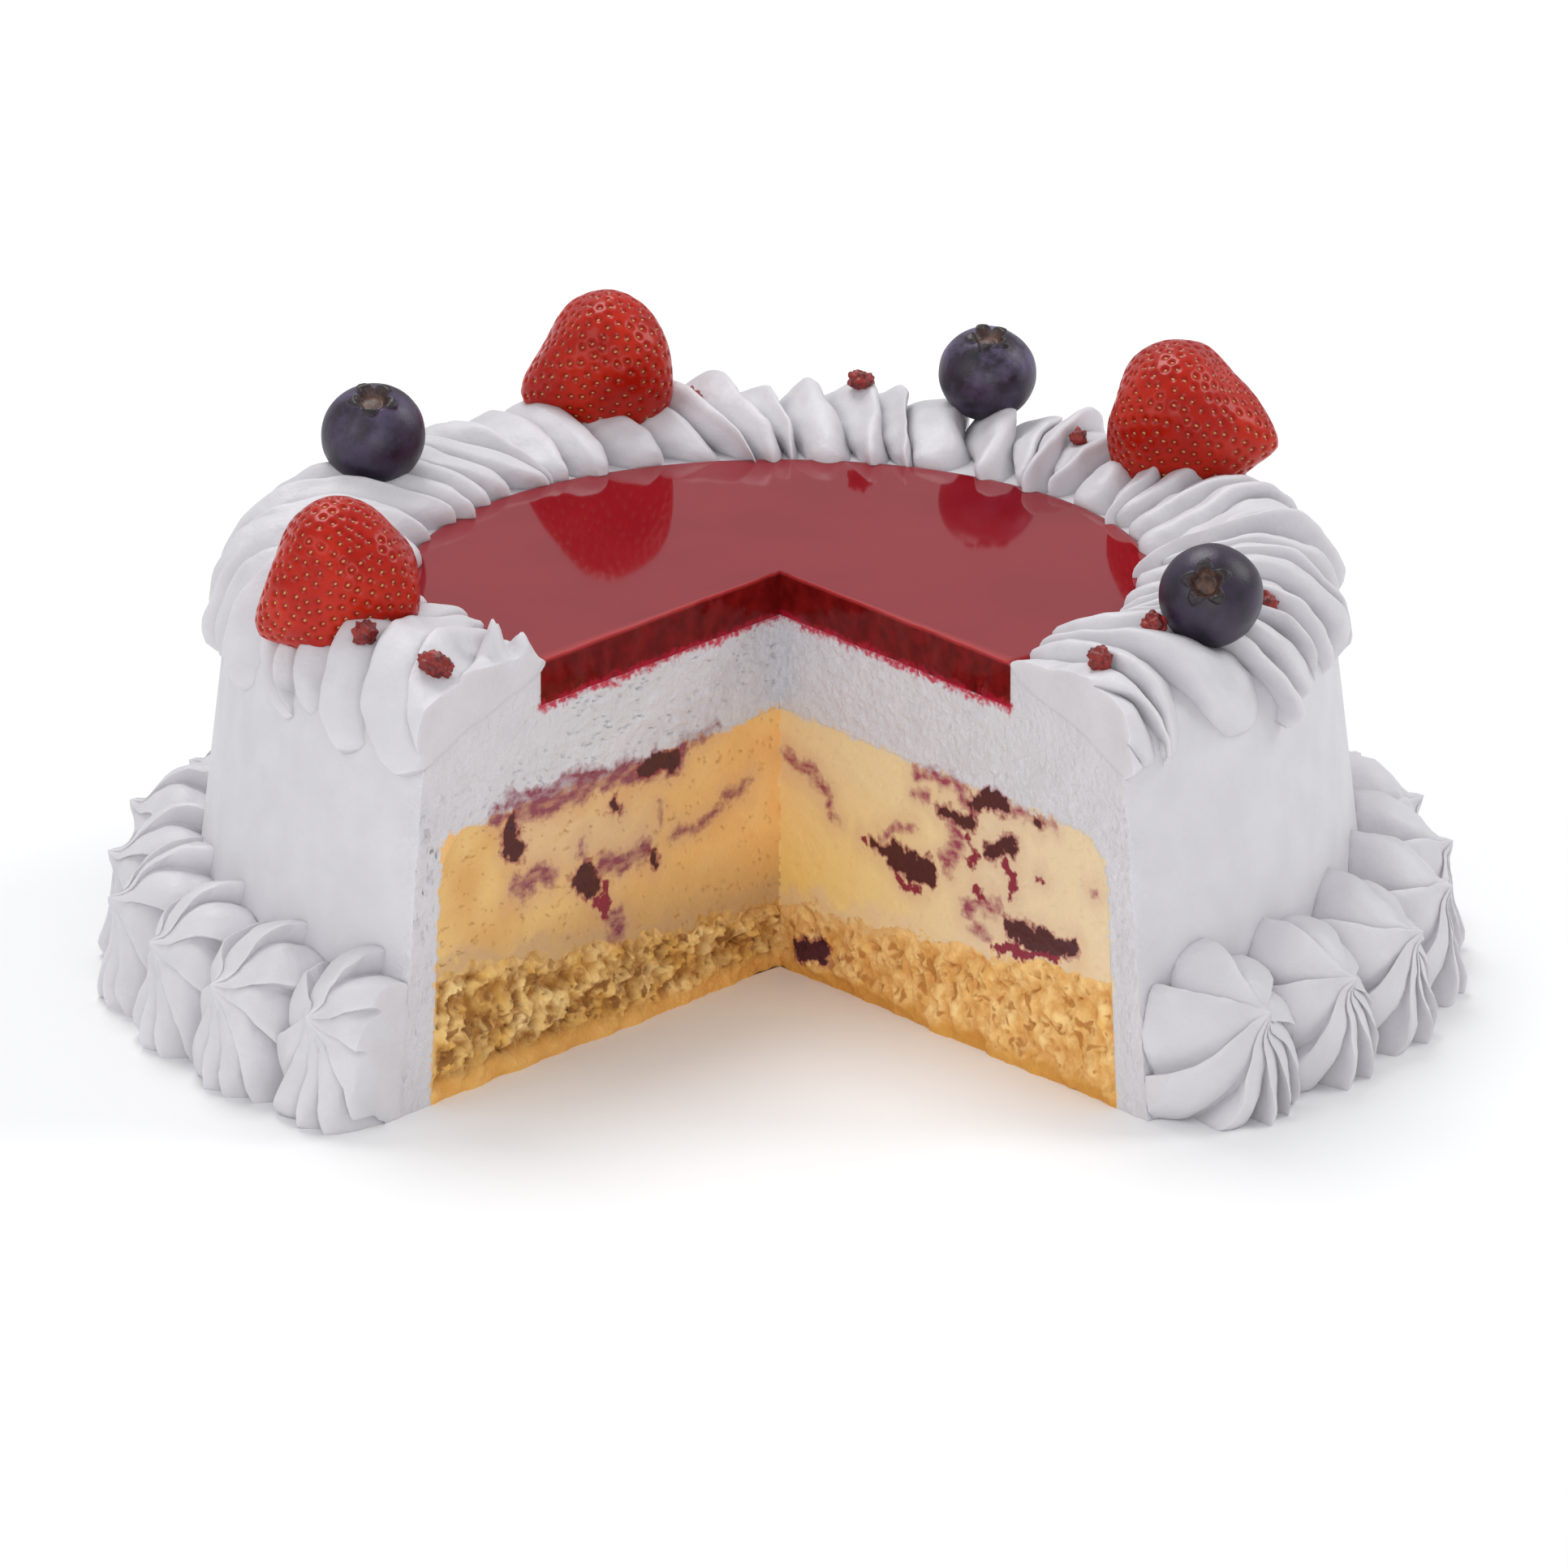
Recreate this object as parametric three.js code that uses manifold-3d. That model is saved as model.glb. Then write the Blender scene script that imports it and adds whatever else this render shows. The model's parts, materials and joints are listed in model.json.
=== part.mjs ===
// An ice cream cake with one slice taken out, standing on its flat base.
// From the bottom up it is a sponge base with a dished top, vanilla ice cream with a berry ripple,
// a coat of white cream ice over the top and the side, and a disc of red jelly let into the top.
// One ring of piped cream covers the upper edge and another fills the corner at the foot of the wall.
// Strawberries, blueberries and a few crumbs of dried berry sit on the upper ring.
// Units are millimetres, +Z is up, and the slice is missing on the -Y side. Every piece is worked out
// about the cake's own axis, and the whole is then moved so that the middle of its base is the origin.
import * as THREE from "three";
import { mergeVertices } from "three/addons/utils/BufferGeometryUtils.js";
import Module from "manifold-3d";

// The missing slice: its two cuts, in degrees to the right and to the left of the front
const RIGHT_CUT = 37.4;
const LEFT_CUT = 39;

// The coat: a wall that leans in towards a rounded shoulder, and a rim round the jelly
const WALL_FOOT_RADIUS = 104.6;
const WALL_TOP_RADIUS = 97.4;
const RIM_TOP = 72.4;
const SHOULDER_RADIUS = 10;

// The core of sponge and ice cream inside the coat
const CORE_FOOT_RADIUS = 96;
const CORE_LEAN = 0.07;
const CORE_TOP = 48;
const CORE_SHOULDER = 9;
const SPONGE_MIDDLE = 12.5;
const SPONGE_EDGE = 23.5;
const DISH_POWER = 1.4;

// The jelly disc
const JELLY_RADIUS = 65.8;
const JELLY_FLOOR = 65.2;
const JELLY_TOP = 73.3;
const JELLY_EDGE = 1.5;

// The upper ring: a rope from a star nozzle over the rim and the upper edge, its ridges running across it
const ROPE_RIDGES = 62;
const RIDGE_SAMPLES = 2;
const ROPE_MIDDLE = [83, 68];
const ROPE_LINE = [[99.2, 61], [99.4, 66.5], [95, 75.6], [86, 80.8], [74, 77.6], [64.6, 73]];
const ROPE_STEPS = 7;
const GROOVE_INSIDE = 0.1;
const GROOVE_OUTSIDE = 0.15;
const RIDGE_SLANT = 3.5;
const RIDGES_IN_LOOP = 4;
const LOOP_GROOVE = 1.5;

// Beside each cut the knife has pressed the rope down, over so many degrees
const PRESSED_ARC = 9;
const PRESSED_SHARE = 0.5;

// The lower ring: larger star dollops squeezed into the corner between wall and floor, tips outward
const FOOT_STARS = 23;
const FOOT_FIRST = 45.3;
const FOOT_LAST = 316.5;
const FOOT_RING_RADIUS = 103.5;
const FOOT_RING_HEIGHT = 11;
const FOOT_STAR = { radial: 16.5, tangential: 15.5, height: 20, ridges: 9, depth: 0.24, lean: 62, tip: 0.18 };

// How uneven the piping is: share of the size, and degrees of turn about the tip
const STAR_UNEVENNESS = 0.07;
const STAR_TURN = 20;

// Fruit on the upper ring: the side it is on, its place in degrees from the front, distance from the axis,
// height of its middle, and the way the strawberry's tip or the blueberry's crown points
const STRAWBERRIES = [
  {
    side: "left", place: -63.2, radius: 88.8, height: 83.5,
    length: 29, width: 27, aim: [-0.8, -0.33, -0.5],
  },
  {
    side: "back", place: -157.3, radius: 86, height: 85.2,
    length: 27.5, width: 26.5, aim: [-0.88, -0.25, -0.36],
  },
  {
    side: "right", place: 123.2, radius: 88, height: 85.2,
    length: 30, width: 27.5, aim: [0.93, -0.15, -0.25],
  },
];
const BLUEBERRIES = [
  { side: "left", place: -117.5, radius: 81, height: 86.5, width: 18.6, aim: [0, -0.41, 0.91] },
  { side: "back", place: 154.5, radius: 86, height: 86.2, width: 17.4, aim: [0.02, -0.3, 0.95] },
  { side: "right", place: 57.4, radius: 87.2, height: 83.3, width: 17.8, aim: [-0.13, -0.83, 0.54] },
];
const STRAWBERRY_LOBES = 0.035;
const BLUEBERRY_HEIGHT = 0.93;
const CROWN_LOBES = 5;

// Crumbs of dried berry: place in degrees from the front, distance from the axis, and width
const CRUMBS = [
  { place: -110, radius: 86, width: 4.2 },
  { place: -52, radius: 91, width: 4.6 },
  { place: -41.8, radius: 89, width: 4.8 },
  { place: -169, radius: 83, width: 4 },
  { place: 170, radius: 83.5, width: 4.6 },
  { place: 137.7, radius: 79, width: 3.2 },
  { place: 69.3, radius: 90, width: 4.2 },
  { place: 50, radius: 84.5, width: 4 },
  { place: 40, radius: 86, width: 4.8 },
];
const CRUMB_SINK = 0.25;

// Clearance between neighbouring pieces, and how finely round shapes are divided
const GAP = 0.3;
const LATHE_SEGMENTS = 52;
const ARC_STEPS = 3;
const DISH_STEPS = 4;
const STAR_RINGS = 5;
const STAR_CROWDING = 1.15;
const FRUIT_AROUND = 16;
const FRUIT_RINGS = 9;
const MERGE_DISTANCE = 1e-4;
const FAR = 300;

const wasm = await Module();
wasm.setup();
const rad = THREE.MathUtils.degToRad;

// A repeatable source of numbers from 0 to 1
function seededRandom(seed) {
  let state = seed >>> 0;
  return () => {
    state = (Math.imul(state, 1664525) + 1013904223) >>> 0;
    return state / 4294967296;
  };
}
const random = seededRandom(20);
const uneven = (share) => 1 + share * (2 * random() - 1);

// Solids and geometries

// A closed geometry as a solid, without the triangles that shrink to a line at a pole
function solidFrom(geometry) {
  const bare = new THREE.BufferGeometry();
  bare.setAttribute("position", geometry.attributes.position);
  bare.setIndex(geometry.index);
  const merged = mergeVertices(bare, MERGE_DISTANCE);
  const corners = merged.index.array;
  const kept = [];
  for (let i = 0; i < corners.length; i += 3) {
    const [a, b, c] = corners.slice(i, i + 3);
    if (a !== b && b !== c && c !== a) kept.push(a, b, c);
  }
  const vertProperties = new Float32Array(merged.attributes.position.array);
  return new wasm.Manifold(new wasm.Mesh({ numProp: 3, vertProperties, triVerts: new Uint32Array(kept) }));
}

function geometryFrom(solid) {
  const mesh = solid.getMesh();
  const geometry = new THREE.BufferGeometry();
  geometry.setAttribute("position", new THREE.BufferAttribute(mesh.vertProperties, 3));
  geometry.setIndex(new THREE.BufferAttribute(mesh.triVerts, 1));
  return geometry;
}

const joined = (solids) => solids.reduce((whole, next) => whole.add(next));

// The largest body of a solid, so that a scrap cut off by a neighbour is dropped
function largestBody(solid) {
  return solid.decompose().reduce((best, next) => (next.volume() > best.volume() ? next : best));
}

// A profile of [radius, height] points, from the axis at the bottom to the axis at the top, turned about Z
function turned(profile) {
  const points = profile.map(([radius, height]) => new THREE.Vector2(radius, height));
  return solidFrom(new THREE.LatheGeometry(points, LATHE_SEGMENTS).rotateX(Math.PI / 2));
}

// Points of an arc about [radius, height], between two angles in degrees above the outward direction
function arc([radius, height], size, from, to) {
  return Array.from({ length: ARC_STEPS + 1 }, (_, i) => {
    const angle = rad(from + ((to - from) * i) / ARC_STEPS);
    return [radius + size * Math.cos(angle), height + size * Math.sin(angle)];
  });
}

// The point at a place given in degrees from the front, to the right where positive
function at(place, radius, height) {
  return new THREE.Vector3(radius * Math.sin(rad(place)), -radius * Math.cos(rad(place)), height);
}

// A sphere about the origin with its rings crowded towards the +Z pole, its radius set by a rule
function shapedSphere(around, rings, crowding, radiusAt) {
  const ball = new THREE.SphereGeometry(1, around, rings);
  const { position, uv } = ball.attributes;
  const point = new THREE.Vector3();
  for (let i = 0; i < position.count; i++) {
    const turn = (2 * Math.PI * (Math.round(uv.getX(i) * around) % around)) / around;
    const polar = Math.PI * (1 - uv.getY(i)) ** crowding;
    point.setFromSphericalCoords(radiusAt(polar, turn), polar, turn);
    position.setXYZ(i, point.z, point.x, point.y);
  }
  return ball;
}

// The missing slice, grown outwards past the whole cake
function sliceSolid() {
  const left = at(-LEFT_CUT, FAR, 0);
  const right = at(RIGHT_CUT, FAR, 0);
  const outline = new THREE.Shape([new THREE.Vector2(), left, right].map((p) => new THREE.Vector2(p.x, p.y)));
  const prism = new THREE.ExtrudeGeometry(outline, { depth: FAR, bevelEnabled: false });
  return solidFrom(prism.translate(0, 0, -FAR / 2));
}
const slice = sliceSolid();
const withoutSlice = (solid) => largestBody(solid.subtract(slice));

// Layers

const coreRadius = (height) => CORE_FOOT_RADIUS - CORE_LEAN * height;
const dishHeight = (radius) =>
  SPONGE_MIDDLE + (SPONGE_EDGE - SPONGE_MIDDLE) * (radius / coreRadius(SPONGE_EDGE)) ** DISH_POWER;

// The dish between sponge and ice cream, from its rim in to the axis, lifted by a clearance
function dishProfile(lift) {
  return Array.from({ length: DISH_STEPS + 1 }, (_, i) => {
    const radius = coreRadius(SPONGE_EDGE) * (1 - i / DISH_STEPS);
    return [radius, dishHeight(radius) + lift];
  });
}

// The core's outline above the sponge: round the shoulder and in to the axis, grown by a clearance
function coreCrown(grow) {
  const middle = [coreRadius(CORE_TOP - CORE_SHOULDER) - CORE_SHOULDER, CORE_TOP - CORE_SHOULDER];
  return [...arc(middle, CORE_SHOULDER + grow, 0, 90), [0, CORE_TOP + grow]];
}

function spongeBase() {
  return withoutSlice(turned([[0, 0], [CORE_FOOT_RADIUS, 0], ...dishProfile(0)]));
}

function vanillaRipple() {
  return withoutSlice(turned([...dishProfile(GAP).reverse(), ...coreCrown(0)]));
}

// The cake's outside from foot to rim, grown by a clearance
function outerWall(grow) {
  const lean = Math.atan2(WALL_FOOT_RADIUS - WALL_TOP_RADIUS, RIM_TOP - SHOULDER_RADIUS);
  const middle = [WALL_TOP_RADIUS - SHOULDER_RADIUS, RIM_TOP - SHOULDER_RADIUS];
  const foot = [WALL_FOOT_RADIUS + grow, 0];
  return [foot, ...arc(middle, SHOULDER_RADIUS + grow, THREE.MathUtils.radToDeg(lean), 90)];
}

function creamCoat() {
  const edge = JELLY_RADIUS + GAP;
  const floor = JELLY_FLOOR - GAP;
  const outside = turned([[0, 0], ...outerWall(0), [edge, RIM_TOP], [edge, floor], [0, floor]]);
  const core = turned([[0, -GAP], [CORE_FOOT_RADIUS + GAP, -GAP], ...coreCrown(GAP)]);
  return withoutSlice(outside.subtract(core));
}

function redJelly() {
  const shoulder = arc([JELLY_RADIUS - JELLY_EDGE, JELLY_TOP - JELLY_EDGE], JELLY_EDGE, 0, 90);
  return withoutSlice(turned([[0, JELLY_FLOOR], [JELLY_RADIUS, JELLY_FLOOR], ...shoulder, [0, JELLY_TOP]]));
}

// Piped cream

// A dollop from a star nozzle: a dome with sharp crests running down from its tip, its tip leaning
// away from the axis, set at a place on a ring. Local X is outward before it is turned into place.
function pipedStar(form, place, ringRadius, height) {
  const around = 2 * form.ridges;
  const star = shapedSphere(around, STAR_RINGS, STAR_CROWDING, (polar, turn) => {
    const valley = 0.5 - 0.5 * Math.cos(form.ridges * turn);
    const tip = form.tip * Math.exp(-((polar / 0.35) ** 2));
    return 1 - form.depth * valley * Math.sin(polar) ** 0.6 + tip;
  });
  star.rotateZ(rad(STAR_TURN * (2 * random() - 1)));
  star.rotateY(rad(form.lean));
  const size = uneven(STAR_UNEVENNESS);
  star.scale(form.radial * size, form.tangential * uneven(STAR_UNEVENNESS), form.height * size);
  star.translate(ringRadius, 0, height);
  return star.rotateZ(rad(place - 90));
}

// Everything below the upper ring, grown by the clearance
function bedOfTopBorder() {
  const edge = JELLY_RADIUS + GAP;
  const rim = outerWall(GAP);
  return turned([[0, 0], ...rim, [edge, RIM_TOP + GAP], [edge, JELLY_TOP + GAP], [0, JELLY_TOP + GAP]]);
}

// The rope's section, from under its inner foot round the outer lip and over the top to the inner foot:
// [radius, height, how far out from 0 at the inner foot to 1 at the outer lip]
function ropeSection() {
  const line = new THREE.SplineCurve(ROPE_LINE.map(([radius, height]) => new THREE.Vector2(radius, height)));
  const over = line.getSpacedPoints(ROPE_STEPS).map(({ x, y }, i) => [x, y, 1 - i / ROPE_STEPS]);
  const [radius, height] = ROPE_MIDDLE;
  return [[radius - 10, height - 6, 0], [radius + 8, height - 12, 1], ...over];
}

// How much of the rope's height is left at a place, in degrees from the front
function pressed(place) {
  const around = ((place % 360) + 360) % 360;
  const beside = Math.min(Math.abs(around - RIGHT_CUT), Math.abs(360 - LEFT_CUT - around));
  return 1 - PRESSED_SHARE * (1 - THREE.MathUtils.smoothstep(beside, 0, PRESSED_ARC));
}

// A ring with a crest at every RIDGE_SAMPLES-th sample and a groove between crests
function pipedRope() {
  const section = ropeSection();
  const samples = ROPE_RIDGES * RIDGE_SAMPLES;
  const profile = [...section, section[0]].map(([radius, height]) => new THREE.Vector2(radius, height));
  const rope = new THREE.LatheGeometry(profile, samples);
  const step = 360 / samples;
  const ridges = Array.from({ length: ROPE_RIDGES }, () => ({
    shift: step * (random() - 0.5),
    size: uneven(STAR_UNEVENNESS / 2),
  }));
  const position = rope.attributes.position;
  for (let i = 0; i < position.count; i++) {
    const sample = Math.floor(i / profile.length) % samples;
    const [radius, height, out] = section[(i % profile.length) % section.length];
    const ridge = Math.floor(sample / RIDGE_SAMPLES);
    const inGroove = sample % RIDGE_SAMPLES !== 0;
    const endsLoop = ridge % RIDGES_IN_LOOP === 0;
    const depth = THREE.MathUtils.lerp(GROOVE_INSIDE, GROOVE_OUTSIDE, out) * (endsLoop ? LOOP_GROOVE : 1);
    const size = inGroove ? 1 - depth : ridges[ridge].size;
    const place = sample * step + ridges[ridge].shift + RIDGE_SLANT * (out - 0.5);
    const up = ROPE_MIDDLE[1] + size * (height - ROPE_MIDDLE[1]);
    const left = up > RIM_TOP ? RIM_TOP + (up - RIM_TOP) * pressed(place) : up;
    const point = at(place, ROPE_MIDDLE[0] + size * (radius - ROPE_MIDDLE[0]), left);
    position.setXYZ(i, point.x, point.y, point.z);
  }
  return rope;
}

function baseBorder() {
  const step = (FOOT_LAST - FOOT_FIRST) / (FOOT_STARS - 1);
  const stars = Array.from({ length: FOOT_STARS + 2 }, (_, i) =>
    solidFrom(pipedStar(FOOT_STAR, FOOT_FIRST + step * (i - 1), FOOT_RING_RADIUS, FOOT_RING_HEIGHT)),
  );
  const wall = turned([[0, -FAR], [WALL_FOOT_RADIUS + GAP, -FAR], ...outerWall(GAP), [0, RIM_TOP + GAP]]);
  const floor = solidFrom(new THREE.BoxGeometry(2 * FAR, 2 * FAR, FAR).translate(0, 0, -FAR / 2));
  return withoutSlice(joined(stars).subtract(wall).subtract(floor));
}

// Fruit

// Turns a fruit made with its tip along +Z to point the given way, and sets it in its place
function placedFruit(geometry, fruit) {
  const aim = new THREE.Vector3(...fruit.aim).normalize();
  geometry.applyQuaternion(new THREE.Quaternion().setFromUnitVectors(new THREE.Vector3(0, 0, 1), aim));
  return geometry.translate(...at(fruit.place, fruit.radius, fruit.height));
}

// A hulled strawberry: a cone with a broad rounded end, a blunt tip and three shallow lobes.
// Along it, 0 is the hulled end and 1 the tip; no part of it is quite as wide as the stated width.
function strawberry(fruit, grow) {
  const berry = shapedSphere(FRUIT_AROUND, FRUIT_RINGS, 1, () => 1);
  const position = berry.attributes.position;
  for (let i = 0; i < position.count; i++) {
    const [x, y, z] = [position.getX(i), position.getY(i), position.getZ(i)];
    const along = (1 + z) / 2;
    const cone = (1 - along ** 2.2) ** 0.75 * (1 - (1 - along) ** 5) ** 0.5;
    const lobes = 1 + STRAWBERRY_LOBES * Math.cos(3 * Math.atan2(y, x));
    const across = (cone * lobes * (fruit.width / 2 + grow)) / Math.max(Math.hypot(x, y), 1e-9);
    position.setXYZ(i, x * across, y * across, z * (fruit.length / 2 + grow));
  }
  return placedFruit(berry, fruit);
}

// A blueberry: a flattened ball with a cup at the top inside a crown of small lobes
function blueberry(fruit, grow) {
  const berry = shapedSphere(FRUIT_AROUND + 2, FRUIT_RINGS, 1.7, (polar, turn) => {
    const cup = 0.16 * Math.max(0, 1 - polar / 0.32);
    const crown = Math.exp(-(((polar - 0.36) / 0.12) ** 2));
    return 1 - cup + 0.07 * crown * (1 + 0.6 * Math.cos(CROWN_LOBES * turn) * Math.sin(polar));
  });
  const half = fruit.width / 2 + grow;
  berry.scale(half, half, half * BLUEBERRY_HEIGHT);
  return placedFruit(berry, fruit);
}

// The upper ring with the crumbs fused to it and a seat pressed into it by each fruit
function topBorder() {
  const piping = withoutSlice(solidFrom(pipedRope()).subtract(bedOfTopBorder()));
  const seats = [
    ...STRAWBERRIES.map((fruit) => solidFrom(strawberry(fruit, GAP))),
    ...BLUEBERRIES.map((fruit) => solidFrom(blueberry(fruit, GAP))),
  ];
  const surface = new THREE.Mesh(geometryFrom(piping), new THREE.MeshBasicMaterial());
  const down = new THREE.Vector3(0, 0, -1);
  const crumbs = CRUMBS.map(({ place, radius, width }) => {
    const [hit] = new THREE.Raycaster(at(place, radius, FAR), down).intersectObject(surface);
    const crumb = new THREE.IcosahedronGeometry(width / 2, 0);
    crumb.rotateX(Math.PI * random()).rotateZ(Math.PI * random()).scale(1, 0.8, 0.9);
    return solidFrom(crumb.translate(hit.point.x, hit.point.y, hit.point.z + width * CRUMB_SINK));
  });
  return largestBody(joined([piping, ...crumbs]).subtract(joined(seats)));
}

// Finishes
const finish = (color, roughness) => new THREE.MeshStandardMaterial({ color, roughness, metalness: 0 });
const whippedCream = finish("#ecedf0", 0.55);
const spongeCrumb = finish("#d9a052", 0.9);
const vanillaIce = finish("#efcb86", 0.5);
const jellyRed = finish("#8a1420", 0.08);
const strawberryRed = finish("#cf2a1c", 0.35);
const blueberrySkin = finish("#3f3a5c", 0.5);

const cake = new THREE.Group();
function addPiece(name, geometry, material) {
  const piece = new THREE.Mesh(geometry, material);
  piece.name = name;
  cake.add(piece);
}
addPiece("sponge_base", geometryFrom(spongeBase()), spongeCrumb);
addPiece("vanilla_ripple", geometryFrom(vanillaRipple()), vanillaIce);
addPiece("cream_coat", geometryFrom(creamCoat()), whippedCream);
addPiece("red_jelly", geometryFrom(redJelly()), jellyRed);
addPiece("base_border", geometryFrom(baseBorder()), whippedCream);
addPiece("top_border", geometryFrom(topBorder()), whippedCream);
for (const fruit of STRAWBERRIES) addPiece(`strawberry_${fruit.side}`, strawberry(fruit, 0), strawberryRed);
for (const fruit of BLUEBERRIES) addPiece(`blueberry_${fruit.side}`, blueberry(fruit, 0), blueberrySkin);

// The middle of the base, under the whole cake, becomes the origin
const middle = new THREE.Box3().setFromObject(cake).getCenter(new THREE.Vector3());
cake.position.set(-middle.x, -middle.y, 0);

export default cake;
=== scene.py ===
# %% [markdown]
# # An ice cream cake with a slice cut out
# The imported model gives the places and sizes. This lesson dresses every node of it: first the four layers
# with their two cut faces, then the piped cream, the fruit and the crumbs, and last the stage.
# Sizes are in millimetres about the cake's own axis, and turn into metres when a mesh is made.

import functools
import json
import math

import bmesh
import bpy
import numpy as np
from mathutils import Matrix, Vector, noise
from mathutils.bvhtree import BVHTree

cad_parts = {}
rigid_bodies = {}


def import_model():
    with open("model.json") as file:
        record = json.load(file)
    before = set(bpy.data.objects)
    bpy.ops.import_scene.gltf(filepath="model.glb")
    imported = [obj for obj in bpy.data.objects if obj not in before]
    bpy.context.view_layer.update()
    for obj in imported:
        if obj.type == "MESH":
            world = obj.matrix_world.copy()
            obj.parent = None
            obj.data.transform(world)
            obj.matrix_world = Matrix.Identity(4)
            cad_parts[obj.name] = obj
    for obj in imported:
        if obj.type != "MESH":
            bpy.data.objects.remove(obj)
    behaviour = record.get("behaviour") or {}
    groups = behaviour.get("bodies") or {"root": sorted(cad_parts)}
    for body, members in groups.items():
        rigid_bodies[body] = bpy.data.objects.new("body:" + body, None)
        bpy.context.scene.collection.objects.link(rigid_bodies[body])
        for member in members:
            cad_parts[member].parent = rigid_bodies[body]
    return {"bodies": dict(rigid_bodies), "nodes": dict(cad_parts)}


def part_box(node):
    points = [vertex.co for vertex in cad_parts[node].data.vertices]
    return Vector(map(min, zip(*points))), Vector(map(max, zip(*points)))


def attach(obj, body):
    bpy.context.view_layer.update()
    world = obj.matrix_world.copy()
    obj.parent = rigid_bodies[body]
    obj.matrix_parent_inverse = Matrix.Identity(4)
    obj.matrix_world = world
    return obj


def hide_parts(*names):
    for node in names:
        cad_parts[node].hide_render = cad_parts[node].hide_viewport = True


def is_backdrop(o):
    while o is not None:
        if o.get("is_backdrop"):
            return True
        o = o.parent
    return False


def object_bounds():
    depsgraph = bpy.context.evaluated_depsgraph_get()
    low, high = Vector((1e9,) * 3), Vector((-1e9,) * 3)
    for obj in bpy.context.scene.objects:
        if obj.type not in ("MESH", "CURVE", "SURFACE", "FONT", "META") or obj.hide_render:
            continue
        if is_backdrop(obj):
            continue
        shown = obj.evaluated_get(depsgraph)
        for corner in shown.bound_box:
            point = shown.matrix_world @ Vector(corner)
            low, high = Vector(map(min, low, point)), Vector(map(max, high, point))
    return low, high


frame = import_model()
cad_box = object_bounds()
BODY = next(iter(frame["bodies"]))
MM = 0.001
print("nodes in the frame:", len(frame["nodes"]))

# %% [markdown]
# ## The cake's axis and the two cuts
# The missing slice puts the middle of the box off the cake's axis. The jelly is a disc, so its box gives the
# axis: half its width is its radius, and its back edge is one radius behind the axis. A place on the cake is
# an angle in degrees from the front, growing to the right, as on a clock that is read from above.

# %% Axis and places
jelly_low, jelly_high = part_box("red_jelly")
JELLY_RADIUS = (jelly_high[0] - jelly_low[0]) / 2 / MM
AXIS = Vector(((jelly_low[0] + jelly_high[0]) / 2, jelly_high[1] - JELLY_RADIUS * MM, 0))
RIGHT_CUT = 37.4
LEFT_CUT = 321.0


def at(place, radius, height):
    """The point, or the points, at a place, a distance from the axis and a height, in metres."""
    angle = np.radians(place)
    x = radius * np.sin(angle) * MM + AXIS.x
    y = -radius * np.cos(angle) * MM + AXIS.y
    return np.stack(np.broadcast_arrays(x, y, np.asarray(height) * MM), axis=-1)


print("axis at", [round(c / MM, 2) for c in AXIS], "mm, jelly radius", round(JELLY_RADIUS, 1), "mm")

# %% [markdown]
# ## Node trees and colours
# Every tree, for a shape or for a finish, is built with one small function that adds a node, sets its
# options and joins its inputs. Colours are written as sRGB hex values, as a colour picker shows them, and
# one function turns them to the linear values that Cycles works in.

# %% Helpers for trees and colours
def draw_curve(mapping, corners):
    """Draws the line of a curve node through these corners."""
    line = mapping.curves[0]
    line.points[0].location = corners[0]
    line.points[1].location = corners[-1]
    for corner in corners[1:-1]:
        line.points.new(*corner)
    mapping.update()


def join(tree, node, inputs):
    """Gives each input its value, or links it to an output socket or to the first output of a node."""
    for name, value in inputs.items():
        if isinstance(value, bpy.types.Node):
            value = value.outputs[0]
        if isinstance(value, bpy.types.NodeSocket):
            tree.links.new(value, node.inputs[name])
        else:
            node.inputs[name].default_value = value


def add(tree, kind, inputs=None, **options):
    """Adds a node with its options, and joins its inputs."""
    node = tree.nodes.new(kind)
    for name, value in options.items():
        if name == "curve":
            draw_curve(node.mapping, value)
        else:
            setattr(node, name, value)
    join(tree, node, inputs or {})
    return node


def linear(code):
    """An sRGB hex colour as linear red, green, blue and alpha."""
    shares = [int(code[i : i + 2], 16) / 255 for i in (1, 3, 5)]
    return [s / 12.92 if s <= 0.04045 else ((s + 0.055) / 1.055) ** 2.4 for s in shares] + [1.0]


def bare_material(name):
    """A new material with an empty tree, and its Principled shader joined to the output."""
    material = bpy.data.materials.new(name)
    material.use_nodes = True
    tree = material.node_tree
    tree.nodes.clear()
    shader = add(tree, "ShaderNodeBsdfPrincipled")
    add(tree, "ShaderNodeOutputMaterial", {"Surface": shader})
    return material, tree, shader


print("helpers ready")

# %% [markdown]
# ## The layers as sections
# A knife shows the inside of the cake, so each layer needs two dense faces where its crumb and its ripple
# can be real relief. A layer is turned, so it is made as a pottery wheel would: a grid over its section,
# laid in both cut planes, and the grid's edge swept round the long way between them. Left and right ends of
# the sweep share their points with the two grids, and the points on the axis are merged, so it is closed.

# %% Sizes of the layers
WALL_FOOT_RADIUS, WALL_TOP_RADIUS, RIM_TOP, SHOULDER_RADIUS = 104.6, 97.4, 72.4, 10
CORE_FOOT_RADIUS, CORE_LEAN, CORE_TOP, CORE_SHOULDER = 96, 0.07, 48, 9
# The ice cream's shoulder shows sharper on the left cut, and its border there is drawn with this radius
LEFT_SHOULDER = 2.5
SPONGE_MIDDLE, SPONGE_EDGE, DISH_POWER = 12.5, 23.5, 1.4
JELLY_FLOOR, JELLY_TOP, JELLY_EDGE, JELLY_SIDE = 65.2, 73.3, 1.5, 2


def core_radius(height):
    """Distance of the ice cream's side from the axis at a height."""
    return CORE_FOOT_RADIUS - CORE_LEAN * height


def dish_height(radius):
    """Height of the sponge's dished top at a distance from the axis."""
    return SPONGE_MIDDLE + (SPONGE_EDGE - SPONGE_MIDDLE) * (radius / core_radius(SPONGE_EDGE)) ** DISH_POWER


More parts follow.
